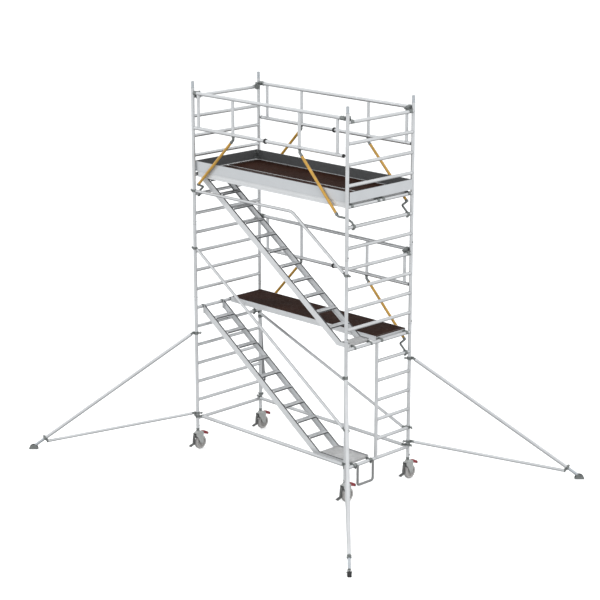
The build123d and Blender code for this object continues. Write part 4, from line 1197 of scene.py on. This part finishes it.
def guard_hooks(name, place):
    """Elbows and collars at the ends of the yellow braces, and the hook bars with their rung clips."""
    steel = Sketch(place)
    for high, low in GUARD_BRACES:
        slope = (low[0] - high[0]) / (high[1] - low[1])
        corner = high[0] - slope * 0.036
        route = [
            guard_xyz(corner, 0, GUARD_KNEE - GUARD_TUBE), guard_xyz(corner, 0, high[1] + 0.036),
            guard_xyz(high[0], 0, high[1]),
        ]
        steel.sweep(bend(route, 0.024), 0.019, 24)
        aim = unit(route[2] - route[1])
        steel.lathe(
            [(0.018, -0.004), (0.0225, -0.004), (0.0225, 0.014), (0.0202, 0.014)], route[2], aim, 28,
            loop=True,
        )
        steel.lathe(
            [(0.0, 0), (0.027, 0), (0.027, 0.004), (0, 0.004)], route[0] + Vector((0, 0, -0.006)),
            (0, 0, 1), 28,
        )
        steel.bolt(route[1] + Vector((0, -0.018, 0.004)), (0, -1, 0), 0.007, 0.006)
        foot = guard_xyz(low[0], 0, low[1])
        collar = [
            (0.0150, 0.004), (0.0215, 0.004), (0.0225, 0.002), (0.0225, -0.030), (0.0215, -0.032),
            (0.0202, -0.032),
        ]
        steel.lathe(collar, foot, -aim, 28, loop=True)
    crown = CLIP_DROP + CLIP_OUTER
    near = GUARD_BRACES[0][1]
    far = GUARD_BRACES[1][1]
    near_route = [
        (near[0], 0, near[1]), (near[0] - 0.018, 0, near[1] - 0.018),
        (near[0] - 0.006, NEAR_CLIP, near[1] - 0.057), (0.010, NEAR_CLIP, crown - 0.002),
    ]
    far_route = [
        (far[0], 0, far[1]), (far[0] + 0.036, 0, far[1] - 0.038), (far[0] + 0.148, 0.044, far[1] - 0.052),
        (2 * HALF_BAY - 0.014, FAR_CLIP - 0.004, crown + 0.024),
        (2 * HALF_BAY - 0.004, FAR_CLIP, crown - 0.004),
    ]
    for route, inward, along, lean in (
        (near_route, NEAR_CLIP, 0, 1), (far_route, FAR_CLIP, 2 * HALF_BAY, -1)
    ):
        steel.sweep(bend([guard_xyz(*p) for p in route], 0.022), HOOK_BAR, 24)
        rung_clip(steel, guard_xyz(along, inward, CLIP_DROP), lean)
    piece(steel, f"{name}_guard_hooks", "root", ZINC, bevel=0.0006)


def guard_claws(name, place):
    """Claws over the upper rung, with the cheek, elbow and sleeve that hold the top rail."""
    grips = Sketch(place)
    for along, turn, reach, sleeve in (
        (0.0, 0.0, 1, (0.034, 0.088)), (2 * HALF_BAY, math.pi, -1, (0.036, 0.120))
    ):
        grips.place = place @ Matrix.Translation(guard_xyz(along, 0.070, 0)) @ Matrix.Rotation(turn, 4, "Z")
        claw(grips, 0.050, 0.086, 0.026, 0.044)
        grips.bolt((0.062, 0, 0.044), (0, 0, 1), 0.010, 0.009)
        grips.place = place
        cheek = [
            (0.030, -0.022), (0.036, -0.030), (0.052, -0.030), (0.058, -0.022), (0.058, 0.066),
            (0.050, 0.074), (0.038, 0.074), (0.030, 0.066),
        ]
        low, high = guard_xyz(0, 0.030, 0).y, guard_xyz(0, 0.095, 0).y
        outline = [(guard_xyz(along + reach * a, 0, b).x, guard_xyz(0, 0, b).z) for a, b in cheek]
        grips.extrude(outline, "y", low, high)
        arm = guard_xyz(along + reach * 0.065, 0, 0).x
        rail = guard_xyz(0, 0, GUARD_RAIL_RISE)
        span = 0.042
        inner = GUARD_TUBE + 0.0002
        elbow = [(0.0505, 0.028), (0.0505, 0.068), (0.018, 0.068)]
        saddle = arc(inner, (44, 22, 0, -22, -44, -61), (0, GUARD_RAIL_RISE))
        outline = elbow + saddle + [(0.012, 0.028)]
        rings = [
            [(arm + half, rail.y + a, guard_xyz(0, 0, b).z) for a, b in outline]
            for half in (-span / 2, span / 2)
        ]
        grips.skin(rings)
        start, stop = sleeve
        length = stop - start
        outer = GUARD_TUBE + 0.005
        collar = [
            (inner, 0), (outer - 0.0015, 0), (outer, 0.0015), (outer, length * 0.30),
            (outer - 0.0015, length * 0.34), (outer - 0.0015, length * 0.66), (outer, length * 0.70),
            (outer, length - 0.0015), (outer - 0.0015, length), (inner, length),
        ]
        first = guard_xyz(along + reach * start, 0, GUARD_RAIL_RISE)
        grips.lathe(collar, first, (reach, 0, 0), 36, loop=True)
        grips.bolt(first + Vector((reach * length / 2, 0, outer - 0.002)), (0, 0, 1), 0.007, 0.006)
    piece(grips, f"{name}_guard_claws", "root", ZINC, bevel=0.0008)


def guards():
    for name, place in GUARDS.items():
        for fitting in (guard_welds, guard_ring_and_cap, guard_hooks, guard_claws):
            fitting(name, place)
    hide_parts("guard_rings_and_caps")
    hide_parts("guard_brace_hooks", "guard_brace_elbows")
    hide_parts("guard_claws")


# Casters, in the frame of their post's foot

WHEEL_RADIUS = 0.100
TRAIL = 0.045
CROWN_LOW = 0.256
CROWN_HIGH = 0.262
FORK_TOP = 0.287
FORK_GAP = 0.033
FORK_PLATE = 0.005
BRAKE_PIVOT = (-0.020, 0.230)


def caster_stem(sketch):
    head = FORK_TOP + 0.0003
    collar = [
        (0, head), (0.021, head), (0.024, head + 0.003), (0.024, POST_BOTTOM - 0.016),
        (0.0265, POST_BOTTOM - 0.014), (0.0265, POST_BOTTOM - 0.004), (0.024, POST_BOTTOM - 0.002),
        (0.0215, POST_BOTTOM), (0.0215, POST_BOTTOM + 0.11), (0, POST_BOTTOM + 0.11),
    ]
    sketch.lathe(collar, (0, 0, 0), (0, 0, 1), 40)
    sketch.bar((0, 0, CROWN_LOW - 0.004), (0, 0, head), 0.012, 24)
    sketch.lathe(
        [(0, 0), (0.0155, 0), (0.0155, 0.007), (0.0135, 0.009), (0, 0.009)], (0, 0, CROWN_LOW - 0.010),
        (0, 0, 1), 6,
    )


def pierced_plate(sketch, plan, hole, low, high):
    """Level plate round the origin with a round hole in it."""
    step = 0.004
    outer = []
    for start, end in zip(plan, plan[1:] + plan[:1]):
        run = Vector(end) - Vector(start)
        count = max(1, round(run.length / step))
        outer += [Vector(start) + run * k / count for k in range(count)]
    inner = [point.normalized() * hole for point in outer]
    rings = [
        [(p.x, p.y, z) for p in ring]
        for ring, z in ((outer, low), (outer, high), (inner, high), (inner, low))
    ]
    sketch.skin(rings, loop=True)


def caster_fork(sketch):
    """Ball-race head, pressed crown and legs, axle bolt with its nut, and the brake pin."""
    bore = 0.0128
    head = [
        (bore, CROWN_LOW), (0.044, CROWN_LOW), (0.047, CROWN_LOW + 0.003), (0.047, CROWN_HIGH),
        (0.041, CROWN_HIGH + 0.002), (0.0385, CROWN_HIGH + 0.006), (0.0385, FORK_TOP - 0.010),
        (0.036, FORK_TOP - 0.008), (0.036, FORK_TOP - 0.006), (0.033, FORK_TOP - 0.002), (0.028, FORK_TOP),
        (bore, FORK_TOP),
    ]
    sketch.lathe(head, (0, 0, 0), (0, 0, 1), 48, loop=True)
    plan = bend([(-0.040, 0.078, 0), (-0.040, -0.062, 0), (0.040, -0.062, 0), (0.040, 0.078, 0)], 0.014, 5)
    plan = [(p.x, p.y) for p in plan]
    pierced_plate(sketch, plan, 0.016, CROWN_LOW + 0.0002, CROWN_HIGH - 0.001)
    leg = bend([
        (0, -0.062, 0.2565), (0, -0.062, 0.222), (0, -0.030, 0.190), (0, 0.020, 0.098), (0, 0.045, 0.076),
        (0, 0.070, 0.098), (0, 0.080, 0.190), (0, 0.080, 0.2565),
    ], 0.016, 5)
    outline = [(p.y, p.z) for p in leg]
    for side in (-1, 1):
        low, high = sorted((side * FORK_GAP, side * (FORK_GAP + FORK_PLATE)))
        sketch.extrude(outline, "x", low, high)
        rib = [(side * (FORK_GAP + FORK_PLATE), 0.022, 0.235), (side * (FORK_GAP + FORK_PLATE), 0.036, 0.150),
               (side * (FORK_GAP + FORK_PLATE), 0.043, 0.118)]
        sketch.sweep(bend(rib, 0.05), 0.0035, 10)
        sketch.bolt((side * (FORK_GAP + FORK_PLATE), TRAIL, WHEEL_RADIUS), (side, 0, 0), 0.0095, 0.008)
        sketch.rivet((side * (FORK_GAP + FORK_PLATE), *BRAKE_PIVOT), (side, 0, 0), 0.008)
    sketch.bar((-0.040, TRAIL, WHEEL_RADIUS), (0.040, TRAIL, WHEEL_RADIUS), 0.0060, 24)
    sketch.bar((-0.039, *BRAKE_PIVOT), (0.039, *BRAKE_PIVOT), 0.0050, 20)


def caster_wheel(core, tyre):
    """Moulded core with spokes and bearing caps; tyre with a crowned tread."""
    hub = (0, TRAIL, WHEEL_RADIUS)
    half = 0.023
    bore = 0.0066
    core.lathe([
        (bore, -0.029), (0.014, -0.029), (0.0165, -0.027), (0.020, -0.025), (0.0225, -0.020),
        (0.0225, 0.020), (0.020, 0.025), (0.0165, 0.027), (0.014, 0.029), (bore, 0.029),
    ], hub, (1, 0, 0), 40, loop=True)
    core.lathe(
        [(0.0205, -0.005), (0.0745, -0.004), (0.0745, 0.004), (0.0205, 0.005)], hub, (1, 0, 0), 64,
        loop=True,
    )
    core.lathe([(0.0715, -half + 0.001), (0.0735, -half), (0.0838, -half), (0.0838, half), (0.0735, half),
                (0.0715, half - 0.001), (0.0725, 0)], hub, (1, 0, 0), 72, loop=True)
    for spoke in range(10):
        angle = 2 * math.pi * spoke / 10
        out = Vector((0, math.cos(angle), math.sin(angle)))
        start = Vector(hub) + out * 0.021
        end = Vector(hub) + out * 0.073
        for side in (-1, 1):
            shift = Vector((side * 0.011, 0, 0))
            box_between(core, start + shift, end + shift, 0.0035, 0.015, up=(1, 0, 0))
    for side in (-1, 1):
        core.lathe(
            [(0.030, 0.0045), (0.033, 0.0045), (0.033, 0.0115), (0.030, 0.0115)], hub, (side, 0, 0), 48,
            loop=True,
        )
    radius = WHEEL_RADIUS
    profile = [
        (0.0840, -half + 0.001), (0.0880, -half), (0.0925, -half + 0.0008), (0.0965, -half + 0.003),
        (0.0988, -half + 0.0065),
    ]
    crown = [
        (radius - 0.0003, -0.012), (radius - 0.0016, -0.0112), (radius - 0.0016, -0.0096),
        (radius, -0.0088), (radius, 0.0088), (radius - 0.0016, 0.0096), (radius - 0.0016, 0.0112),
        (radius - 0.0003, 0.012),
    ]
    tyre.lathe(profile + crown + [(r, -h) for r, h in reversed(profile)], hub, (1, 0, 0), 96, loop=True)


def curved_plate(sketch, line, x_low, x_high, thick):
    """Sheet of even thickness that follows a line in (y, z), between two x values."""
    points = bend([(0, y, z) for y, z in line], 0.03, 5)
    over, under = [], []
    for k, point in enumerate(points):
        before = points[max(k - 1, 0)]
        after = points[min(k + 1, len(points) - 1)]
        normal = Vector((1, 0, 0)).cross(after - before).normalized()
        over.append(point + normal * thick / 2)
        under.append(point - normal * thick / 2)
    outline = [(p.y, p.z) for p in over + under[::-1]]
    sketch.extrude(outline, "x", x_low, x_high)


BRAKE_SHEET = 0.003             # pressed sheet of the rocker and tail
PEDAL_HALF = 0.0288


def caster_brake(rocker, tail, release):
    """Pressed rocker on its pin with a brake shoe, dark guard and tail pedal, red release pedal."""
    half = 0.020
    y, z = BRAKE_PIVOT
    sleeve = [(0.00505, -half), (0.010, -half), (0.010, half), (0.00505, half)]
    rocker.lathe(sleeve, (0, y, z), (1, 0, 0), 24, loop=True)
    curved_plate(rocker, [(-0.026, 0.2395), (0.020, 0.2395), (0.086, 0.2285)], -half, half, 0.005)
    rocker.cheeks([
        (-0.034, 0.216), (-0.006, 0.215), (0.030, 0.220), (0.088, 0.224), (0.088, 0.231),
        (0.020, 0.242), (-0.034, 0.242),
    ], half - BRAKE_SHEET, half)
    curved_plate(rocker, [(-0.040, 0.200), (-0.012, 0.2115), (0.006, 0.2125)], -0.015, 0.015, 0.007)
    rocker.block((-0.012, -0.034, 0.204), (0.012, -0.010, 0.222))
    curved_plate(
        tail, [(-0.028, 0.2390), (-0.078, 0.226), (-0.086, 0.160), (-0.090, 0.098)], -half, half, 0.008
    )
    tail.cheeks([
        (-0.094, 0.100), (-0.084, 0.092), (-0.074, 0.130), (-0.070, 0.190), (-0.034, 0.214),
        (-0.034, 0.234), (-0.078, 0.226), (-0.089, 0.160),
    ], half - BRAKE_SHEET, half)
    curved_plate(
        tail, [(-0.086, 0.0985), (-0.110, 0.0940), (-0.140, 0.0860), (-0.162, 0.0760)], -0.025, 0.025, 0.009
    )
    for k in range(4):
        y = -0.118 - 0.013 * k
        tail.bar((-0.022, y, 0.0970 - 0.0035 * k), (0.022, y, 0.0970 - 0.0035 * k), 0.0022, 8)
    curved_plate(
        release, [(0.090, 0.2540), (0.118, 0.2490), (0.150, 0.2415), (0.178, 0.2210)], -0.029, 0.029, 0.014
    )
    for k in range(5):
        y = 0.106 + 0.014 * k
        height = 0.2590 - 0.0020 * k - 0.0010 * k * k
        release.bar((-0.024, y, height), (0.024, y, height), 0.0024, 8)
    release.cheeks([
        (0.088, 0.260), (0.092, 0.224), (0.174, 0.194), (0.183, 0.204), (0.182, 0.222), (0.150, 0.246),
        (0.120, 0.258),
    ], 0.0220, PEDAL_HALF)
    release.extrude(
        [(0.088, 0.246), (0.092, 0.228), (0.150, 0.214), (0.150, 0.232), (0.120, 0.246)], "x", -0.022, 0.022
    )
    release.extrude(
        [(0.160, 0.200), (0.176, 0.194), (0.184, 0.204), (0.183, 0.223), (0.172, 0.226)], "x",
        -PEDAL_HALF, PEDAL_HALF,
    )


def casters():
    stems = Sketch()
    for name, (side, y_side, _) in CORNERS.items():
        place = Matrix.Translation((side * HALF_BAY, y_side * HALF_WIDTH, 0))
        stems.place = place
        caster_stem(stems)
        fork = Sketch(place)
        caster_fork(fork)
        piece(
            fork, f"fork_{name}", f"caster_fork_{name}", FORK, [f"caster_fork_{name}"],
            bevel=0.0008,
        )
        core, tyre = Sketch(place), Sketch(place)
        caster_wheel(core, tyre)
        piece(
            core, f"wheel_core_{name}", f"caster_wheel_{name}", WHEEL,
            [f"caster_wheel_{name}"], bevel=0.0006,
        )
        piece(tyre, f"tyre_{name}", f"caster_wheel_{name}", TYRE)
        rocker, tail, release = Sketch(place), Sketch(place), Sketch(place)
        caster_brake(rocker, tail, release)
        body = f"caster_brake_{name}"
        piece(
            release, f"release_pedal_{name}", body, RED, [f"caster_brake_{name}"],
            bevel=0.0022, segments=3,
        )
        piece(rocker, f"brake_rocker_{name}", body, ZINC, bevel=0.0008)
        piece(tail, f"brake_tail_{name}", body, TAIL, bevel=0.0014)
    piece(stems, "stems", "root", ZINC, ["caster_stems"], bevel=0.0004)


# Stabilisers, in the frame of their post, reaching out along +X

STABILISER_TOP = 1.786
STABILISER_BASE = 0.561
STABILISER_START = 0.050
STABILISER_REACH = 2.430
FOOT_PIVOT = 0.040
LEG_SHOWN = 0.220
HINGE = Vector((STABILISER_START, 0, STABILISER_TOP))
PIVOT = Vector((STABILISER_REACH, 0, FOOT_PIVOT))
REACH_LENGTH = (PIVOT - HINGE).length
DOWN_LINE = (PIVOT - HINGE) / REACH_LENGTH
SQUARE_LINE = Vector((DOWN_LINE.z, 0, -DOWN_LINE.x))
COLLAR = REACH_LENGTH - LEG_SHOWN


def on_stabiliser(distance, drop=0.0):
    return HINGE + DOWN_LINE * distance + SQUARE_LINE * drop


def fork_end(sketch, hinge, toward, bore):
    """Pressed fork that straddles a coupler's lug, with its bolt and nut."""
    along = unit(toward - hinge)
    for side in (-1, 1):
        box_between(
            sketch, hinge + Vector((0, side * 0.012, 0)) - along * 0.012,
            hinge + Vector((0, side * 0.012, 0)) + along * 0.040, 0.005, 0.028,
            up=along.cross(Vector((0, 1, 0))),
        )
    sketch.bar(hinge + along * 0.026, hinge + along * 0.044, bore, 24)
    sketch.bar(hinge - Vector((0, 0.021, 0)), hinge + Vector((0, 0.021, 0)), 0.006, 16)
    for side in (-1, 1):
        sketch.bolt(hinge + Vector((0, side * 0.0145, 0)), (0, side, 0), 0.009, 0.007)


def wing_bolt(sketch, place, axis, across):
    """T-bolt with a winged nut."""
    place, axis, across = Vector(place), unit(axis), unit(across)
    sketch.bar(place, place + axis * 0.022, 0.006, 14)
    hub = [(0, 0.004), (0.0115, 0.004), (0.0095, 0.016), (0, 0.016)]
    sketch.lathe(hub, place, axis, 20)
    for side in (-1, 1):
        start = place + axis * 0.009 + across * side * 0.008
        sketch.sweep([
            start, start + across * side * 0.010 + axis * 0.003,
            start + across * side * 0.016 + axis * 0.009,
        ], 0.0036, 10)


def stabiliser(tubes, steel):
    """Outer tube and strut; bands on the post, collar with its clamp and the strut's bracket."""
    lower = Vector((STABILISER_START, 0, STABILISER_BASE))
    strut_end = on_stabiliser(COLLAR, 0.058)
    tubes.pipe(on_stabiliser(0.030), on_stabiliser(COLLAR), 0.025)
    along = unit(strut_end - lower)
    tubes.pipe(lower + along * 0.030, strut_end - along * 0.012, 0.021)
    for hinge, toward, bore, height in ((HINGE, PIVOT, 0.022, 0.044), (lower, strut_end, 0.018, 0.040)):
        band(steel, (0, 0, hinge.z), height, (1, 0, 0), (-1, 0, 0))
        box_between(steel, (0.030, 0, hinge.z), (0.050, 0, hinge.z), 0.017, height)
        steel.bar(hinge - Vector((0, 0.0085, 0)), hinge + Vector((0, 0.0085, 0)), height / 2, 24)
        fork_end(steel, hinge, toward, bore)
        wing_bolt(steel, (0.016, -0.030, hinge.z), (0, -1, 0), (0, 0, 1))
        steel.block((0.008, -0.036, hinge.z - 0.013), (0.024, -0.027, hinge.z + 0.013))
    collar = [
        (0.0252, 0), (0.031, 0), (0.033, 0.002), (0.033, 0.010), (0.031, 0.012), (0.031, 0.030),
        (0.033, 0.032), (0.033, 0.038), (0.030, 0.040), (0.0222, 0.040), (0.0222, 0.022), (0.0252, 0.022),
    ]
    steel.lathe(collar, on_stabiliser(COLLAR - 0.022), DOWN_LINE, 40, loop=True)
    wing_bolt(steel, on_stabiliser(COLLAR, -0.031), -SQUARE_LINE, DOWN_LINE)
    for side in (-1, 1):
        box_between(steel, on_stabiliser(COLLAR, 0.028) + Vector((0, side * 0.011, 0)),
                    on_stabiliser(COLLAR, 0.078) + Vector((0, side * 0.011, 0)), 0.032, 0.005, up=(0, 1, 0))
    steel.bar(strut_end - along * 0.030, strut_end - along * 0.008, 0.018, 20)
    box_between(steel, strut_end - along * 0.012, strut_end + along * 0.014, 0.016, 0.030)
    steel.bar(strut_end - Vector((0, 0.018, 0)), strut_end + Vector((0, 0.018, 0)), 0.006, 14)
    for side in (-1, 1):
        steel.bolt(strut_end + Vector((0, side * 0.0135, 0)), (0, side, 0), 0.009, 0.007)


def stabiliser_leg(tube, steel):
    """Telescopic leg with an end plug, a flattened tongue and an eye round the pivot."""
    radius = 0.0217
    tube.pipe(on_stabiliser(REACH_LENGTH - 0.950), on_stabiliser(REACH_LENGTH - 0.032), radius)
    steel.lathe([(0, 0), (radius + 0.0004, 0), (radius + 0.0004, 0.012), (0.016, 0.016), (0, 0.016)],
                on_stabiliser(REACH_LENGTH - 0.044), DOWN_LINE, 32)
    box_between(
        steel, on_stabiliser(REACH_LENGTH - 0.034), on_stabiliser(REACH_LENGTH - 0.004), 0.020, 0.028,
        up=SQUARE_LINE,
    )
    steel.lathe(
        [(0.00605, -0.010), (0.0145, -0.010), (0.0145, 0.010), (0.00605, 0.010)], PIVOT, (0, 1, 0), 32,
        loop=True,
    )


SHOE_FLOOR = 0.004              # centre of the shoe's dome above the floor


def stabiliser_foot(rubber, steel):
    """Half-round rubber shoe with a grooved sole, between two pressed cheeks on a cross bolt."""
    radius = 0.064
    dome = arc(radius, range(0, 181, 9), (PIVOT.x, SHOE_FLOOR))
    shoe = [p for p in dome if p[1] <= 0.024 or p[0] > PIVOT.x + 0.019]
    right = [p for p in shoe if p[0] > PIVOT.x]
    left = [p for p in shoe if p[0] < PIVOT.x]
    outline = right + [(PIVOT.x + 0.020, 0.060), (PIVOT.x + 0.020, 0.024), (PIVOT.x - 0.056, 0.024)] + left
    rubber.extrude(outline, "y", -0.0235, 0.0235)
    tread = []
    count = 11
    for k in range(count):
        start = PIVOT.x - 0.066 + 0.012 * k
        tread += [(start, 0.0), (start + 0.008, 0.0), (start + 0.0092, 0.002), (start + 0.0108, 0.002)]
    sole = tread + [(PIVOT.x + 0.066, 0.0), (PIVOT.x + 0.066, 0.0055), (PIVOT.x - 0.066, 0.0055)]
    rubber.extrude(sole, "y", -0.024, 0.024)
    rim = 0.067
    disc = arc(rim, range(0, 181, 6), (PIVOT.x, SHOE_FLOOR))
    for side in (-1, 1):
        low, high = sorted((side * 0.0245, side * 0.0280))
        steel.extrude(disc, "y", low, high)
        steel.bolt((PIVOT.x, side * 0.028, PIVOT.z), (0, side, 0), 0.0105, 0.008)
        for x in (-0.042, 0.042):
            steel.rivet((PIVOT.x + x, side * 0.028, 0.020), (0, side, 0), 0.0055)
    steel.bar((PIVOT.x, -0.030, PIVOT.z), (PIVOT.x, 0.030, PIVOT.z), 0.0060, 20)


def stabilisers():
    for name, (side, y_side, angle) in CORNERS.items():
        place = Matrix.Translation(
            (side * HALF_BAY, y_side * HALF_WIDTH, 0)
        ) @ Matrix.Rotation(math.radians(angle), 4, "Z")
        tubes, steel = Sketch(place), Sketch(place)
        stabiliser(tubes, steel)
        body = f"stabiliser_{name}"
        piece(tubes, f"stabiliser_tubes_{name}", body, TUBE, [body])
        piece(steel, f"stabiliser_couplers_{name}", body, ZINC, bevel=0.0008)
        tube, tongue = Sketch(place), Sketch(place)
        stabiliser_leg(tube, tongue)
        body = f"stabiliser_leg_{name}"
        piece(tube, f"inner_leg_{name}", body, SPIGOT, [body])
        piece(tongue, f"leg_tongue_{name}", body, ZINC, bevel=0.001)
        rubber, cheeks = Sketch(place), Sketch(place)
        stabiliser_foot(rubber, cheeks)
        body = f"stabiliser_foot_{name}"
        piece(rubber, f"foot_shoe_{name}", body, RUBBER, [body], bevel=0.0008)
        piece(cheeks, f"foot_cheeks_{name}", body, ZINC, bevel=0.001)


# CAD nodes that keep their shape

def paint_frames():
    tubes = [
        "lower_left_frame", "lower_right_passage_frame", "middle_left_frame", "middle_right_frame",
        "upper_left_frame", "upper_right_frame", "brace_tubes", "handrails",
    ]
    tubes += [f"{name}_guard_frame" for name in GUARDS]
    for node in tubes:
        paint(node, TUBE)
    paint("frame_spigots", SPIGOT)
    for stair in STAIRS:
        paint(f"{stair['name']}_stair_stringers", PROFILE)
    paint("stair_landings", LANDING)
    paint("guard_braces", YELLOW)
    for node in DECK_NODES.values():
        paint(node, DECK)


# Stage: pale floor, soft studio light

FLOOR_GLOW = 0.30


def floor():
    """White sweep with a faint glow, so that shadows stay light."""
    bm = bmesh.new()
    bmesh.ops.create_grid(bm, x_segments=1, y_segments=1, size=60)
    mesh = bpy.data.meshes.new("floor")
    bm.to_mesh(mesh)
    bm.free()
    obj = bpy.data.objects.new("floor", mesh)
    obj.location.z = -0.0005
    bpy.context.scene.collection.objects.link(obj)
    s = Shader("floor", (0.86, 0.86, 0.86), 0.0, 0.9)
    s.colour(s.ramp(s.noise(0.6, 3), (0.3, (0.85, 0.85, 0.85)), (0.7, (0.88, 0.88, 0.88))))
    s.out.inputs["Emission Color"].default_value = (1, 1, 1, 1)
    s.out.inputs["Emission Strength"].default_value = FLOOR_GLOW
    mesh.materials.append(s.material)
    obj.visible_glossy = False
    obj.visible_diffuse = False


def area_light(name, place, target, size, power, colour=(1, 1, 1)):
    light = bpy.data.lights.new(name, "AREA")
    light.shape = "DISK"
    light.size = size
    light.energy = power
    light.color = colour
    obj = bpy.data.objects.new(name, light)
    obj.location = place
    obj.rotation_mode = "QUATERNION"
    obj.rotation_quaternion = (Vector(target) - Vector(place)).to_track_quat("-Z", "Y")
    obj.visible_glossy = False
    bpy.context.scene.collection.objects.link(obj)


# Brightness by height, from straight down to straight up
SKY = ((0.0, 0.35), (0.24, 0.50), (0.35, 0.98), (1.0, 1.15))
SKY_STRENGTH = 0.95
DARK_SIDE = (-0.62, 0.62, -0.48)


def studio():
    """Bright sky with a dark patch low in the rear left, for the tubes' lower edges, and two soft lamps."""
    world = bpy.data.worlds.new("studio")
    bpy.context.scene.world = world
    world.use_nodes = True
    nodes, links = world.node_tree.nodes, world.node_tree.links
    nodes.clear()
    out = nodes.new("ShaderNodeOutputWorld")
    geometry = nodes.new("ShaderNodeTexCoord")
    split = nodes.new("ShaderNodeSeparateXYZ")
    links.new(geometry.outputs["Generated"], split.inputs["Vector"])
    lift = nodes.new("ShaderNodeMapRange")
    lift.inputs["From Min"].default_value = -1
    lift.inputs["From Max"].default_value = 1
    links.new(split.outputs["Z"], lift.inputs["Value"])
    sky = nodes.new("ShaderNodeValToRGB")
    stops = sky.color_ramp.elements
    while len(stops) < len(SKY):
        stops.new(0.5)
    for stop, (position, level) in zip(stops, SKY):
        stop.position = position
        stop.color = (level * 0.985, level, level * 1.01, 1)
    links.new(lift.outputs["Result"], sky.inputs["Fac"])
    toward = nodes.new("ShaderNodeVectorMath")
    toward.operation = "DOT_PRODUCT"
    toward.inputs[1].default_value = DARK_SIDE
    links.new(geometry.outputs["Generated"], toward.inputs[0])
    dim = nodes.new("ShaderNodeMapRange")
    dim.inputs["From Min"].default_value = 0.80
    dim.inputs["From Max"].default_value = 0.95
    dim.inputs["To Min"].default_value = SKY_STRENGTH
    dim.inputs["To Max"].default_value = SKY_STRENGTH * 0.20
    links.new(toward.outputs["Value"], dim.inputs["Value"])
    lit = nodes.new("ShaderNodeBackground")
    links.new(dim.outputs["Result"], lit.inputs["Strength"])
    links.new(sky.outputs["Color"], lit.inputs["Color"])
    seen = nodes.new("ShaderNodeBackground")
    seen.inputs["Color"].default_value = (1, 1, 1, 1)
    seen.inputs["Strength"].default_value = 1.0
    path = nodes.new("ShaderNodeLightPath")
    pick = nodes.new("ShaderNodeMixShader")
    links.new(path.outputs["Is Camera Ray"], pick.inputs["Fac"])
    links.new(lit.outputs["Background"], pick.inputs[1])
    links.new(seen.outputs["Background"], pick.inputs[2])
    links.new(pick.outputs["Shader"], out.inputs["Surface"])
    area_light("key", (-9, -12, 14), (0, 0, 2.5), 6.0, 1500)
    area_light("fill", (15, -6, 9), (0, 0, 2.5), 7.0, 1500)
    bpy.context.scene.view_settings.view_transform = "Standard"


make_camera()
paint_frames()
frame_welds()
lock_pins()
post_caps()
tube_couplers()
entry_step()
rung_hooks()
platforms()
deck_trim()
hatch()
hatch_hinges()
toe_boards()
stairs()
guards()
casters()
stabilisers()
floor()
studio()
